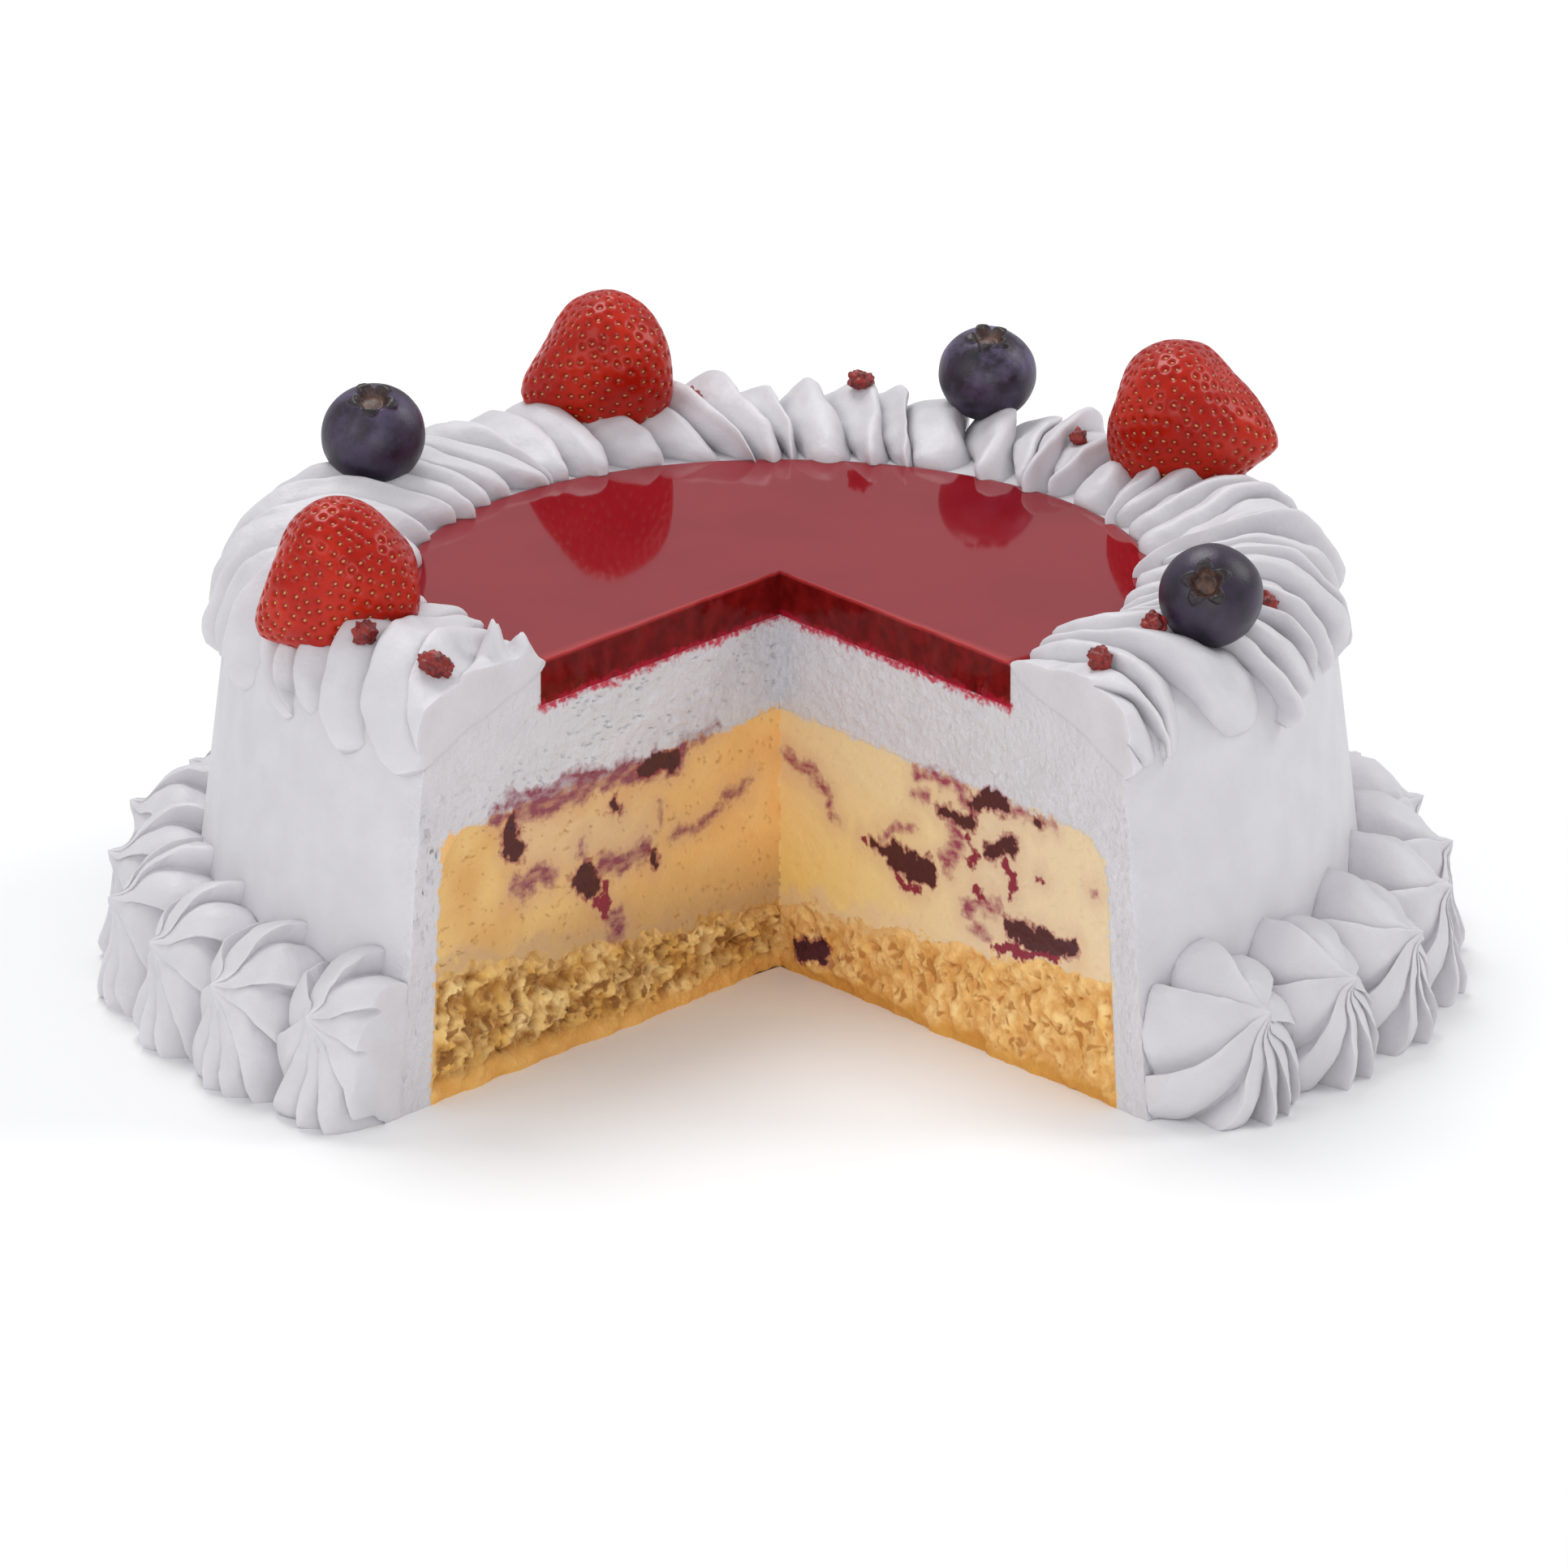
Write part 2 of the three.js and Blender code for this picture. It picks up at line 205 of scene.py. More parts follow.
def along(corners, count):
    """Points at even steps along a line of corners."""
    corners = np.array(corners, float)
    run = np.concatenate([[0], np.cumsum(np.hypot(*np.diff(corners, axis=0).T))])
    steps = np.linspace(0, run[-1], count + 1)
    return np.stack([np.interp(steps, run, corners[:, i]) for i in range(2)], axis=-1)


def arc(middle, size, first, last, count=12):
    """Corners of an arc, between two angles in degrees above the outward direction."""
    angle = np.radians(np.linspace(first, last, count + 1))
    return [(middle[0] + size * math.cos(a), middle[1] + size * math.sin(a)) for a in angle]


def between(inner, outer, count):
    """A grid of points between two lines that have the same number of points."""
    share = np.linspace(0, 1, count + 1)[None, :, None]
    return inner[:, None, :] * (1 - share) + outer[:, None, :] * share


print("sponge edge at", round(float(dish_height(core_radius(SPONGE_EDGE))), 1), "mm")

# %% Sections from the axis outwards
shoulder_middle = (core_radius(CORE_TOP - CORE_SHOULDER) - CORE_SHOULDER, CORE_TOP - CORE_SHOULDER)
core_crown = [(0, CORE_TOP), *arc(shoulder_middle, CORE_SHOULDER, 90, 0)]
rim_middle = (WALL_TOP_RADIUS - SHOULDER_RADIUS, RIM_TOP - SHOULDER_RADIUS)
wall_lean = math.degrees(math.atan2(WALL_FOOT_RADIUS - WALL_TOP_RADIUS, RIM_TOP - SHOULDER_RADIUS))
jelly_corner = arc((JELLY_RADIUS - JELLY_EDGE, JELLY_TOP - JELLY_EDGE), JELLY_EDGE, 90, 0, 6)

LAYER_STEPS, CORE_SIDE_STEPS, JELLY_BED_STEPS, JELLY_STEPS = 240, 70, 120, 150
SECTION_ROWS = {"sponge_base": 56, "vanilla_ripple": 80, "cream_coat": 56, "red_jelly": 24}
# Height and length of the waves in the sponge's torn top, each with its own row of the noise
DISH_WAVES = [(2.4, 9, 4.4), (1.3, 2.6, 7.1)]
base_line = along([(0, 0), (CORE_FOOT_RADIUS, 0)], LAYER_STEPS)
dish_radius = np.linspace(0, core_radius(SPONGE_EDGE), LAYER_STEPS + 1)
dish_waves = [
    sum(tall * noise.noise((r / length, row, 0)) for tall, length, row in DISH_WAVES) for r in dish_radius
]
dish_line = np.stack([dish_radius, dish_height(dish_radius) + dish_waves], axis=-1)
core_side = along([core_crown[-1], (CORE_FOOT_RADIUS, 0)], CORE_SIDE_STEPS)
core_line = np.concatenate([along(core_crown, LAYER_STEPS - CORE_SIDE_STEPS), core_side[1:]])
under_jelly = [(0, JELLY_FLOOR), (JELLY_RADIUS, JELLY_FLOOR), (JELLY_RADIUS, RIM_TOP)]
over_rim = [(JELLY_RADIUS, RIM_TOP), *arc(rim_middle, SHOULDER_RADIUS, 90, wall_lean), (WALL_FOOT_RADIUS, 0)]
coat_bed, coat_rim = along(under_jelly, JELLY_BED_STEPS), along(over_rim, LAYER_STEPS - JELLY_BED_STEPS)
coat_line = np.concatenate([coat_bed, coat_rim[1:]])
jelly_bed = along([(0, JELLY_FLOOR), (JELLY_RADIUS, JELLY_FLOOR)], JELLY_STEPS)
jelly_skin = along([(0, JELLY_TOP), *jelly_corner, (JELLY_RADIUS, JELLY_FLOOR + JELLY_SIDE)], JELLY_STEPS)

layer_lines = {
    "sponge_base": (base_line, dish_line),
    "vanilla_ripple": (dish_line, along(core_crown, LAYER_STEPS)),
    "cream_coat": (core_line, coat_line),
    "red_jelly": (jelly_bed, jelly_skin),
}
sections = {name: between(*lines, SECTION_ROWS[name]) for name, lines in layer_lines.items()}
for name, section in sections.items():
    print(name, "section grid", section.shape[:2])

# %% [markdown]
# ## Berry ripple on the cuts
# Crushed berries were folded into the ice cream, so the knife went through dark pieces, crimson tails and
# purple stains. Noise alone would put them anywhere, so a short list of strokes places the large ones:
# each row has its half width and the points it runs through, as distance from the axis and height. Noise then
# bends the strokes, from a fixed seed, because this noise otherwise starts from the clock. What comes out is
# how far each point is from the nearest stroke of a kind, in millimetres. The finishes fray that distance
# with fine noise, so torn edges are finer than the mesh.

# %% Strokes of the ripple
LEFT_RIPPLE = {
    "berry": [
        (2.1, [(74.6, 45.0), (72.9, 40.6)]),
        (1.8, [(38.3, 46.2), (34.3, 46.9), (29.8, 46.7)]),
        (0.5, [(45.8, 42.2), (44.3, 40.8)]),
        (2.6, [(54.4, 30.7), (52.4, 29.1)]),
        (0.9, [(34.5, 29.8), (34.1, 29.1)]),
    ],
    "crimson": [
        (1.2, [(48.9, 27.6), (47.9, 22.6)]),
        (0.9, [(51.4, 25.5), (48.9, 23.5)]),
    ],
    "stain": [
        (1.3, [(78.6, 48.0), (74.6, 50.9), (73.1, 48.2)]),
        (2.6, [(72.1, 47.2), (66.2, 47.8), (59.2, 47.9), (51.3, 47.6), (43.3, 47.0), (39.3, 46.2)]),
        (2.0, [(39.3, 45.5), (33.3, 45.9), (27.3, 47.1)]),
        (0.6, [(26.3, 47.5), (21.7, 48.3), (16.7, 49.4)]),
        (0.4, [(33.8, 38.7), (32.8, 36.4)]),
        (1.2, [(9.6, 36.5), (14.2, 35.6)]),
        (0.7, [(16.2, 34.1), (23.3, 32.9), (28.8, 32.4)]),
        (1.9, [(72.7, 33.5), (68.3, 34.6), (63.3, 33.7)]),
        (0.8, [(71.2, 31.1), (68.3, 32.3)]),
        (1.9, [(48.9, 31.9), (43.4, 30.8), (37.4, 30.9)]),
        (0.7, [(54.3, 36.7), (53.8, 33.9)]),
        (1.5, [(46.9, 20.7), (44.4, 20.7), (45.9, 17.7)]),
    ],
    "milky": [
        (4.0, [(69.2, 41.6), (58.3, 39.1), (47.3, 37.5), (39.4, 35.1)]),
    ],
}
RIGHT_RIPPLE = {
    "berry": [
        (0.9, [(26.8, 29.8), (31.7, 29.7)]),
        (2.3, [(32.8, 29.3), (38.2, 28.6), (42.5, 29.1)]),
        (1.0, [(45.7, 41.4), (51.1, 41.5), (54.9, 41.1)]),
        (1.5, [(55.4, 45.0), (59.7, 46.5), (63.9, 46.6)]),
        (1.2, [(58.0, 47.1), (59.1, 47.4)]),
        (0.8, [(73.3, 46.7), (74.1, 46.5)]),
        (1.6, [(60.8, 37.1), (64.0, 39.7), (66.1, 39.9)]),
        (1.9, [(66.2, 25.0), (72.6, 24.7), (79.0, 25.0), (83.2, 25.8)]),
        (2.2, [(6.7, 5.1), (12.2, 5.9)]),
    ],
    "crimson": [
        (0.5, [(23.3, 29.9), (24.7, 28.8)]),
        (0.8, [(32.8, 27.5), (36.1, 25.3), (39.9, 24.9)]),
        (0.8, [(53.3, 38.6), (56.5, 35.9), (54.9, 34.1)]),
        (1.0, [(64.0, 35.9), (67.2, 34.6), (66.1, 31.6)]),
        (0.9, [(56.0, 30.2), (57.1, 28.8)]),
        (0.6, [(74.1, 35.8), (75.2, 36.1)]),
        (1.2, [(63.0, 20.3), (70.5, 21.7), (79.0, 22.9)]),
    ],
    "stain": [
        (1.6, [(2.9, 39.2), (8.9, 38.3)]),
        (0.9, [(9.4, 38.1), (12.7, 36.1), (15.6, 32.0)]),
        (0.7, [(30.1, 32.4), (35.0, 34.7), (38.2, 36.5)]),
        (1.2, [(39.2, 46.3), (44.6, 47.4), (47.9, 46.8)]),
        (0.7, [(39.3, 42.8), (42.5, 42.6)]),
        (1.0, [(49.5, 48.0), (53.2, 45.5), (55.4, 42.6)]),
        (0.9, [(66.1, 46.8), (69.3, 46.3)]),
        (0.4, [(68.2, 46.7), (78.8, 47.1)]),
        (1.8, [(49.5, 38.9), (51.1, 35.9), (47.9, 31.6)]),
        (1.3, [(53.3, 25.4), (59.7, 27.8), (63.0, 27.6)]),
        (1.2, [(55.5, 22.1), (59.8, 21.5)]),
        (0.5, [(89.0, 37.4), (90.0, 37.7)]),
    ],
    "milky": [
        (1.5, [(84.3, 23.0), (86.4, 23.6)]),
    ],
}
# The greatest distance that a point carries, in millimetres
FAR = 9.0
RIPPLE_SEED = 3
noise.seed_set(RIPPLE_SEED)
print("ripple strokes:", sum(len(rows) for table in (LEFT_RIPPLE, RIGHT_RIPPLE) for rows in table.values()))


# %% Distances from the berry marks and from the borders
def smooth(value, gone, full):
    """A share that rises smoothly from none at one value to all at another."""
    share = np.clip((value - gone) / (full - gone), 0, 1)
    return share * share * (3 - 2 * share)


def wander(points, depth, length, seed):
    """A smooth random shift for each point, in waves of about this depth and length in millimetres."""
    return depth * np.array([noise.noise_vector((r / length, z / length, seed))[:2] for r, z in points])


def distance_to(points, line):
    """The distance of every point from a line of corners."""
    nearest = np.full(len(points), np.inf)
    for start, end in zip(np.array(line[:-1]), np.array(line[1:])):
        run = end - start
        share = np.clip((points - start) @ run / (run @ run), 0, 1)
        nearest = np.minimum(nearest, np.hypot(*(points - start - share[:, None] * run).T))
    return nearest


def mark_distances(points, table, seed):
    """How far every point of a cut face is outside each kind of berry mark."""
    bent = points + wander(points, 1.6, 4.6, seed)
    marks = {}
    for kind, rows in table.items():
        away = np.min([distance_to(bent, line) - width for width, line in rows], axis=0)
        marks[kind] = np.clip(away, -FAR, FAR)
    return marks


SMEAR_HEIGHT = 1.2


def border_distances(points, seed, shoulder):
    """How far every point is outside the ice cream, above the sponge, and from its smear and the jelly."""
    radius, height = (points + wander(points, 0.9, 5.0, seed)).T
    turn = CORE_TOP - shoulder
    corner = np.hypot(np.maximum(radius - core_radius(turn) + shoulder, 0), np.maximum(height - turn, 0))
    above_core = np.where(height > turn, corner - shoulder, radius - core_radius(height))
    torn = points + wander(points, 2.6, 8.0, seed + 11)
    above_sponge = torn[:, 1] - dish_height(np.abs(torn[:, 0]))
    ragged = points[:, 1] + wander(points, 0.8, 4.0, seed + 29)[:, 1]
    off_jelly = np.abs(ragged - JELLY_FLOOR) + np.maximum(points[:, 0] - JELLY_RADIUS, 0)
    off_smear = np.abs(above_sponge - SMEAR_HEIGHT)
    return {"core": above_core, "crumb": above_sponge, "smear": off_smear, "bleed": off_jelly}


# The part of a cut beside the rope, outwards and upwards, and how near to a border a cut stays flat
ROPE_INSIDE, ROPE_BELOW, BORDER_CALM = (57, 61), (55, 59), (1.8, 0.2)


def calm_share(points):
    """Where a cut face stays flat: beside the piping, and where two layers meet."""
    beside_piping = smooth(points[:, 0], *ROPE_INSIDE) * smooth(points[:, 1], *ROPE_BELOW)
    border = np.minimum(distance_to(points, dish_line), distance_to(points, core_line))
    return np.maximum(beside_piping, smooth(border, *BORDER_CALM))


print("distances ready")

# %% [markdown]
# ## From a section to a closed mesh
# The two cut faces come first, then the rings of the sweep. Each point carries what the finishes need to
# know: whether it is on a cut, which way that cut faces, which of the two it is, its place in the section
# and its distances from the berry marks and the borders.

# %% Values that the points carry
# The left cut's patterns are read so far from the right one's, in millimetres
SIDE_SHIFT = 40.0
MARK_SEEDS, BORDER_SEEDS = {"right": 3.1, "left": 8.6}, {"right": 21.4, "left": 33.9}
DOUBLE = 1e-7
SWEEP_STEPS = {"sponge_base": 60, "vanilla_ripple": 50, "cream_coat": 96, "red_jelly": 110}


def cut_facing(place, sign):
    """The direction that a cut faces, out of the cake into the missing slice."""
    angle = math.radians(place)
    return np.array([sign * math.cos(angle), sign * math.sin(angle), 0])


def set_points(mesh, values):
    """Stores one number or one vector for every point, by name."""
    for name, value in values.items():
        kind, field = ("FLOAT_VECTOR", "vector") if value.ndim == 2 else ("FLOAT", "value")
        layer = mesh.attributes.new(name, kind, "POINT")
        layer.data.foreach_set(field, np.ascontiguousarray(value, dtype=np.float32).ravel())


print("the cuts face", cut_facing(RIGHT_CUT, -1).round(2), "and", cut_facing(LEFT_CUT, 1).round(2))


# %% Layer meshes
def layer_mesh(name):
    """A closed layer: its section in both cut planes, and the section's edge swept between them."""
    section = sections[name]
    rows, columns = section.shape[:2]
    flat = section.reshape(-1, 2)
    grid = np.arange(rows * columns).reshape(rows, columns)
    edge = np.concatenate([grid[:, 0], grid[-1, 1:], grid[-2::-1, -1]])
    places = np.linspace(RIGHT_CUT, LEFT_CUT, SWEEP_STEPS[name] + 1)
    points = [at(RIGHT_CUT, *flat.T), at(LEFT_CUT, *flat.T)] + [at(p, *flat[edge].T) for p in places[1:-1]]
    right = np.stack([grid[:-1, :-1], grid[:-1, 1:], grid[1:, 1:], grid[1:, :-1]], axis=-1).reshape(-1, 4)
    first = 2 * len(flat) + len(edge) * np.arange(len(places) - 2)[:, None] + np.arange(len(edge))
    rings = np.concatenate([edge[None], first, edge[None] + len(flat)])
    sides = np.stack([rings[:-1, :-1], rings[1:, :-1], rings[1:, 1:], rings[:-1, 1:]], axis=-1).reshape(-1, 4)
    mesh = bpy.data.meshes.new(name)
    points = np.concatenate(points)
    mesh.from_pydata(points, [], np.concatenate([right, right + len(flat), sides]).tolist())
    rest = len(points) - 2 * len(flat)
    free = 1 - calm_share(flat)[:, None]
    facing = [free * cut_facing(RIGHT_CUT, -1), free * cut_facing(LEFT_CUT, 1), np.zeros((rest, 3))]
    values = {
        "cut": np.repeat([1, 1, 0], [len(flat), len(flat), rest]),
        "left": np.repeat([0, 1, 0], [len(flat), len(flat), rest]),
        "facing": np.concatenate(facing),
    }
    on_right = mark_distances(flat, RIGHT_RIPPLE, MARK_SEEDS["right"])
    on_right |= border_distances(flat, BORDER_SEEDS["right"], CORE_SHOULDER)
    on_left = mark_distances(flat, LEFT_RIPPLE, MARK_SEEDS["left"])
    on_left |= border_distances(flat, BORDER_SEEDS["left"], LEFT_SHOULDER)
    for kind in on_right:
        values[kind] = np.concatenate([on_right[kind], on_left[kind], np.full(rest, FAR)])
    around = np.tile(flat[edge], (len(places) - 2, 1))
    own_pattern = SIDE_SHIFT * values["left"][:, None]
    values["section"] = np.concatenate([np.concatenate([flat, flat, around]), own_pattern], axis=1)
    set_points(mesh, values)
    whole = bmesh.new()
    whole.from_mesh(mesh)
    bmesh.ops.remove_doubles(whole, verts=whole.verts, dist=DOUBLE)
    bmesh.ops.recalc_face_normals(whole, faces=whole.faces)
    whole.to_mesh(mesh)
    whole.free()
    return mesh


layer_meshes = {name: layer_mesh(name) for name in sections}
for name, mesh in layer_meshes.items():
    print(name, "points", len(mesh.vertices))

# %% [markdown]
# ## Crumb, pores and scrapes on the cuts
# A knife tears sponge and drags ice cream. A bump map would show this in the middle of a face but leave its
# edges straight, so the points themselves are moved along the way that the cut faces: noise makes lumps, and
# cells of a Voronoi pattern make pores. One Geometry Nodes tree does it for every layer, with the sizes as
# inputs. It also stores how deep each point lies, so that the finishes can paint shade into the hollows.

# %% Helpers for trees that make shapes
def new_tree(name, sizes):
    """A Geometry Nodes tree that takes a geometry, a finish and one number for each named size."""
    tree = bpy.data.node_groups.new(name, "GeometryNodeTree")
    tree.interface.new_socket("Geometry", in_out="OUTPUT", socket_type="NodeSocketGeometry")
    kinds = {"Geometry": "NodeSocketGeometry", "Finish": "NodeSocketMaterial"}
    for socket, kind in (kinds | dict.fromkeys(sizes, "NodeSocketFloat")).items():
        tree.interface.new_socket(socket, in_out="INPUT", socket_type=kind)
    return tree, tree.nodes.new("NodeGroupInput").outputs


def end_tree(tree, geometry, finish):
    """Ends a tree: what it built becomes real and gets its finish, because an export drops instances."""
    real = add(tree, "GeometryNodeRealizeInstances", {"Geometry": geometry})
    dressed = add(tree, "GeometryNodeSetMaterial", {"Geometry": real, "Material": finish})
    add(tree, "NodeGroupOutput", {"Geometry": dressed})
    print(tree.name, "tree:", len(tree.nodes), "nodes")


def run_tree(name, tree, finish, sizes, mesh=None):
    """Runs a tree with a finish and these sizes, and gives a plain mesh without empty material slots."""
    holder = bpy.data.objects.new(name, mesh or bpy.data.meshes.new(name))
    bpy.context.scene.collection.objects.link(holder)
    modifier = holder.modifiers.new(tree.name, "NODES")
    modifier.node_group = tree
    inputs = {"Finish": finish} | {size: float(value) for size, value in sizes.items()}
    for socket in tree.interface.items_tree:
        if socket.in_out == "INPUT" and socket.name in inputs:
            modifier[socket.identifier] = inputs[socket.name]
    graph = bpy.context.evaluated_depsgraph_get()
    seen = holder.evaluated_get(graph)
    made = bpy.data.meshes.new_from_object(seen, preserve_all_data_layers=True, depsgraph=graph)
    bpy.data.objects.remove(holder)
    for slot in reversed(range(len(made.materials))):
        if made.materials[slot] is None:
            made.materials.pop(index=slot)
    return made


print("tree helpers ready")

# %% A tree for relief on a cut
RELIEF_SIZES = [
    "Lump size", "Lump depth", "Crumb size", "Crumb depth", "Right share", "Pore size", "Pore depth",
    "Pore share", "Right pores", "Flatten",
]
relief, size = new_tree("Relief on a cut", RELIEF_SIZES)
put = functools.partial(add, relief)
squash = put(
    "ShaderNodeCombineXYZ",
    {
        "X": 1 / MM, "Y": 1 / MM,
        "Z": put("ShaderNodeMath", {0: 1 / MM, 1: size["Flatten"]}, operation="MULTIPLY"),
    },
)
in_mm = put("ShaderNodeVectorMath", {0: put("GeometryNodeInputPosition"), 1: squash}, operation="MULTIPLY")
lump_scale = put("ShaderNodeMath", {0: 1, 1: size["Lump size"]}, operation="DIVIDE")
lumps = put("ShaderNodeTexNoise", {"Vector": in_mm, "Scale": lump_scale, "Detail": 3, "Roughness": 0.55})
swing = put(
    "ShaderNodeMapRange",
    {"Value": lumps, "From Min": 0.3, "From Max": 0.7, "To Min": -1, "To Max": 0.6},
)
print("relief tree so far:", len(relief.nodes), "nodes")

# %% Crumb and pores
crumb_scale = put("ShaderNodeMath", {0: 1, 1: size["Crumb size"]}, operation="DIVIDE")
waves = put("ShaderNodeTexNoise", {"Vector": in_mm, "Scale": crumb_scale, "Detail": 2})
bend = put(
    "ShaderNodeVectorMath",
    {
        0: waves.outputs["Color"],
        "Scale": put("ShaderNodeMath", {0: size["Crumb size"], 1: 2.4}, operation="MULTIPLY"),
    },
    operation="SCALE",
)
bent = put("ShaderNodeVectorMath", {0: in_mm, 1: bend}, operation="ADD")
clods = put(
    "ShaderNodeTexVoronoi", {"Vector": bent, "Scale": crumb_scale, "Smoothness": 0.3, "Randomness": 1},
    feature="SMOOTH_F1",
)
clods = put(
    "ShaderNodeMapRange",
    {"Value": clods, "From Min": 0.1, "From Max": 0.75, "To Min": 0.22, "To Max": -0.22},
)
grit = put("ShaderNodeTexNoise", {"Vector": in_mm, "Scale": crumb_scale, "Detail": 5, "Roughness": 0.62})
grit = put(
    "ShaderNodeMapRange",
    {"Value": grit, "From Min": 0.32, "From Max": 0.68, "To Min": -1, "To Max": 1},
)
crumb = put("ShaderNodeMath", {0: clods, 1: grit}, operation="ADD")
pore_scale = put("ShaderNodeMath", {0: 1, 1: size["Pore size"]}, operation="DIVIDE")
cells = put("ShaderNodeTexVoronoi", {"Vector": bent, "Scale": pore_scale, "Randomness": 1})
inside = put(
    "ShaderNodeMapRange", {"Value": cells, "From Min": 0.2, "From Max": 0.48, "To Min": 1, "To Max": 0},
    interpolation_type="SMOOTHSTEP",
)
few = put("FunctionNodeSeparateColor", {0: cells.outputs["Color"]})
chosen = put("ShaderNodeMath", {0: few, 1: size["Pore share"]}, operation="LESS_THAN")
pores = put("ShaderNodeMath", {0: inside, 1: chosen}, operation="MULTIPLY")
print("relief tree so far:", len(relief.nodes), "nodes")

# %% Relief laid along the way that the cut faces
on_left = put("GeometryNodeInputNamedAttribute", {"Name": "left"}, data_type="FLOAT")
by_side = put("ShaderNodeMapRange", {"Value": on_left, "To Min": size["Right share"], "To Max": 1})
section = put(
    "ShaderNodeSeparateXYZ",
    {0: put("GeometryNodeInputNamedAttribute", {"Name": "section"}, data_type="FLOAT_VECTOR")},
)
over_floor = put("ShaderNodeMath", {0: swing, 1: 1.2, 2: section.outputs["Y"]}, operation="MULTIPLY_ADD")
off_crust = put(
    "ShaderNodeMapRange", {"Value": over_floor, "From Min": 1.2, "From Max": 4},
    interpolation_type="SMOOTHSTEP",
)
crumb = put("ShaderNodeMath", {0: crumb, 1: by_side}, operation="MULTIPLY")
rough = put(
    "ShaderNodeMath",
    {0: put("ShaderNodeMath", {0: crumb, 1: size["Crumb depth"]}, operation="MULTIPLY"), 1: off_crust},
    operation="MULTIPLY",
)
pores_by_side = put("ShaderNodeMapRange", {"Value": on_left, "To Min": size["Right pores"], "To Max": 1})
pores = put("ShaderNodeMath", {0: pores, 1: pores_by_side}, operation="MULTIPLY")
raised = put("ShaderNodeMath", {0: swing, 1: size["Lump depth"], 2: rough}, operation="MULTIPLY_ADD")
sunk = put(
    "ShaderNodeMath",
    {0: put("ShaderNodeMath", {0: pores, 1: size["Pore depth"]}, operation="MULTIPLY"), 1: off_crust},
    operation="MULTIPLY",
)
height = put("ShaderNodeMath", {0: raised, 1: sunk}, operation="SUBTRACT")
on_cut = put("GeometryNodeInputNamedAttribute", {"Name": "cut"}, data_type="FLOAT")
facing = put("GeometryNodeInputNamedAttribute", {"Name": "facing"}, data_type="FLOAT_VECTOR")
lift = put(
    "ShaderNodeMath", {0: height, 1: put("ShaderNodeMath", {0: on_cut, 1: MM}, operation="MULTIPLY")},
    operation="MULTIPLY",
)
shift = put("ShaderNodeVectorMath", {0: facing, "Scale": lift}, operation="SCALE")
told = size["Geometry"]
# How low the crumb and the lumps lie and where the pores are, kept for the painted shade in the hollows, and
# where the crust starts
for name, value in (("crumbs", crumb), ("pores", pores), ("lumps", swing), ("off_crust", off_crust)):
    told = put(
        "GeometryNodeStoreNamedAttribute", {"Geometry": told, "Name": name, "Value": value},
        data_type="FLOAT", domain="POINT",
    )
torn = put("GeometryNodeSetPosition", {"Geometry": told, "Offset": shift})
end_tree(relief, torn, size["Finish"])

# %% Relief of each layer
RELIEF = {
    "sponge_base": {
        "Lump size": 8,
        "Lump depth": 1,
        "Crumb size": 4,
        "Crumb depth": 0.8,
        "Right share": 0.22,
        "Pore size": 2.6,
        "Pore depth": 1,
        "Pore share": 0.36,
        "Right pores": 0.75,
        "Flatten": 1.35,
    },
    "vanilla_ripple": {
        "Lump size": 6, "Lump depth": 0.14, "Crumb size": 3, "Pore size": 1.8, "Pore depth": 0.35,
        "Pore share": 0.2, "Right pores": 0.25, "Flatten": 2.4,
    },
    "cream_coat": {
        "Lump size": 4, "Lump depth": 0.3, "Crumb size": 3, "Pore size": 1.8, "Pore depth": 0.6,
        "Pore share": 0.22, "Right pores": 0.4, "Flatten": 2.2,
    },
    "red_jelly": {"Lump size": 7, "Lump depth": 0.25, "Crumb size": 3, "Pore size": 3, "Flatten": 0.6},
}
print("relief for", ", ".join(RELIEF))

# %% [markdown]
# ## Finishes of the layers
# Whipped cream and cream ice are white and slightly cool, with a satin sheen and tiny air bubbles. Vanilla
# ice cream is warm, sponge is matt with painted shade in its pores and hollows, and jelly is a wet, deep red.
# The left cut lies in shade, so there the vanilla and the sponge take darker copies of their tones: painted
# shade. A painted picture would fix their size, so each colour is a ground with coats over it, as a painter
# would lay them on, and the distances that the points carry say where a coat lies. A little subsurface
# scattering stands for the light that soaks into cream.

# %% Helpers for finishes
MIX_SHARE, MIX_BELOW, MIX_ABOVE, MIX_RESULT = 0, 6, 7, 2


def painted(tree, ground, coats):
    """A ground colour with coats of colour over it, each laid on by its share."""
    for colour, share in coats:
        inputs = {MIX_SHARE: share, MIX_BELOW: ground, MIX_ABOVE: colour}
        ground = add(tree, "ShaderNodeMix", inputs, data_type="RGBA").outputs[MIX_RESULT]
    return ground


def mottled(tree, size_mm, low, high, detail=2):
    """A colour that drifts between two tones over patches of about this size."""
    spot = add(tree, "ShaderNodeTexCoord").outputs["Object"]
    patch = add(tree, "ShaderNodeTexNoise", {"Vector": spot, "Scale": 1 / (size_mm * MM), "Detail": detail})
    spread = add(tree, "ShaderNodeMapRange", {"Value": patch, "From Min": 0.35, "From Max": 0.65})
    return painted(tree, linear(low), [(linear(high), spread)])


def grained(tree, size_mm, depth_mm, share=1):
    """Fine relief of a surface as a bump, by a share."""
    spot = add(tree, "ShaderNodeTexCoord").outputs["Object"]
    grain = add(tree, "ShaderNodeTexNoise", {"Vector": spot, "Scale": 1 / (size_mm * MM), "Detail": 3})
    grain = add(tree, "ShaderNodeMath", {0: grain, 1: share}, operation="MULTIPLY")
    return add(tree, "ShaderNodeBump", {"Strength": 1, "Distance": depth_mm * MM, "Height": grain})


def soaked(weight, reach_mm, reach_by_colour=(1.0, 0.8, 0.65)):
    """Shader inputs for light that soaks into a food and comes out again close by."""
    return {
        "Subsurface Weight": weight,
        "Subsurface Radius": reach_by_colour,
        "Subsurface Scale": reach_mm * MM,
    }


print("coats, patches and grain ready")


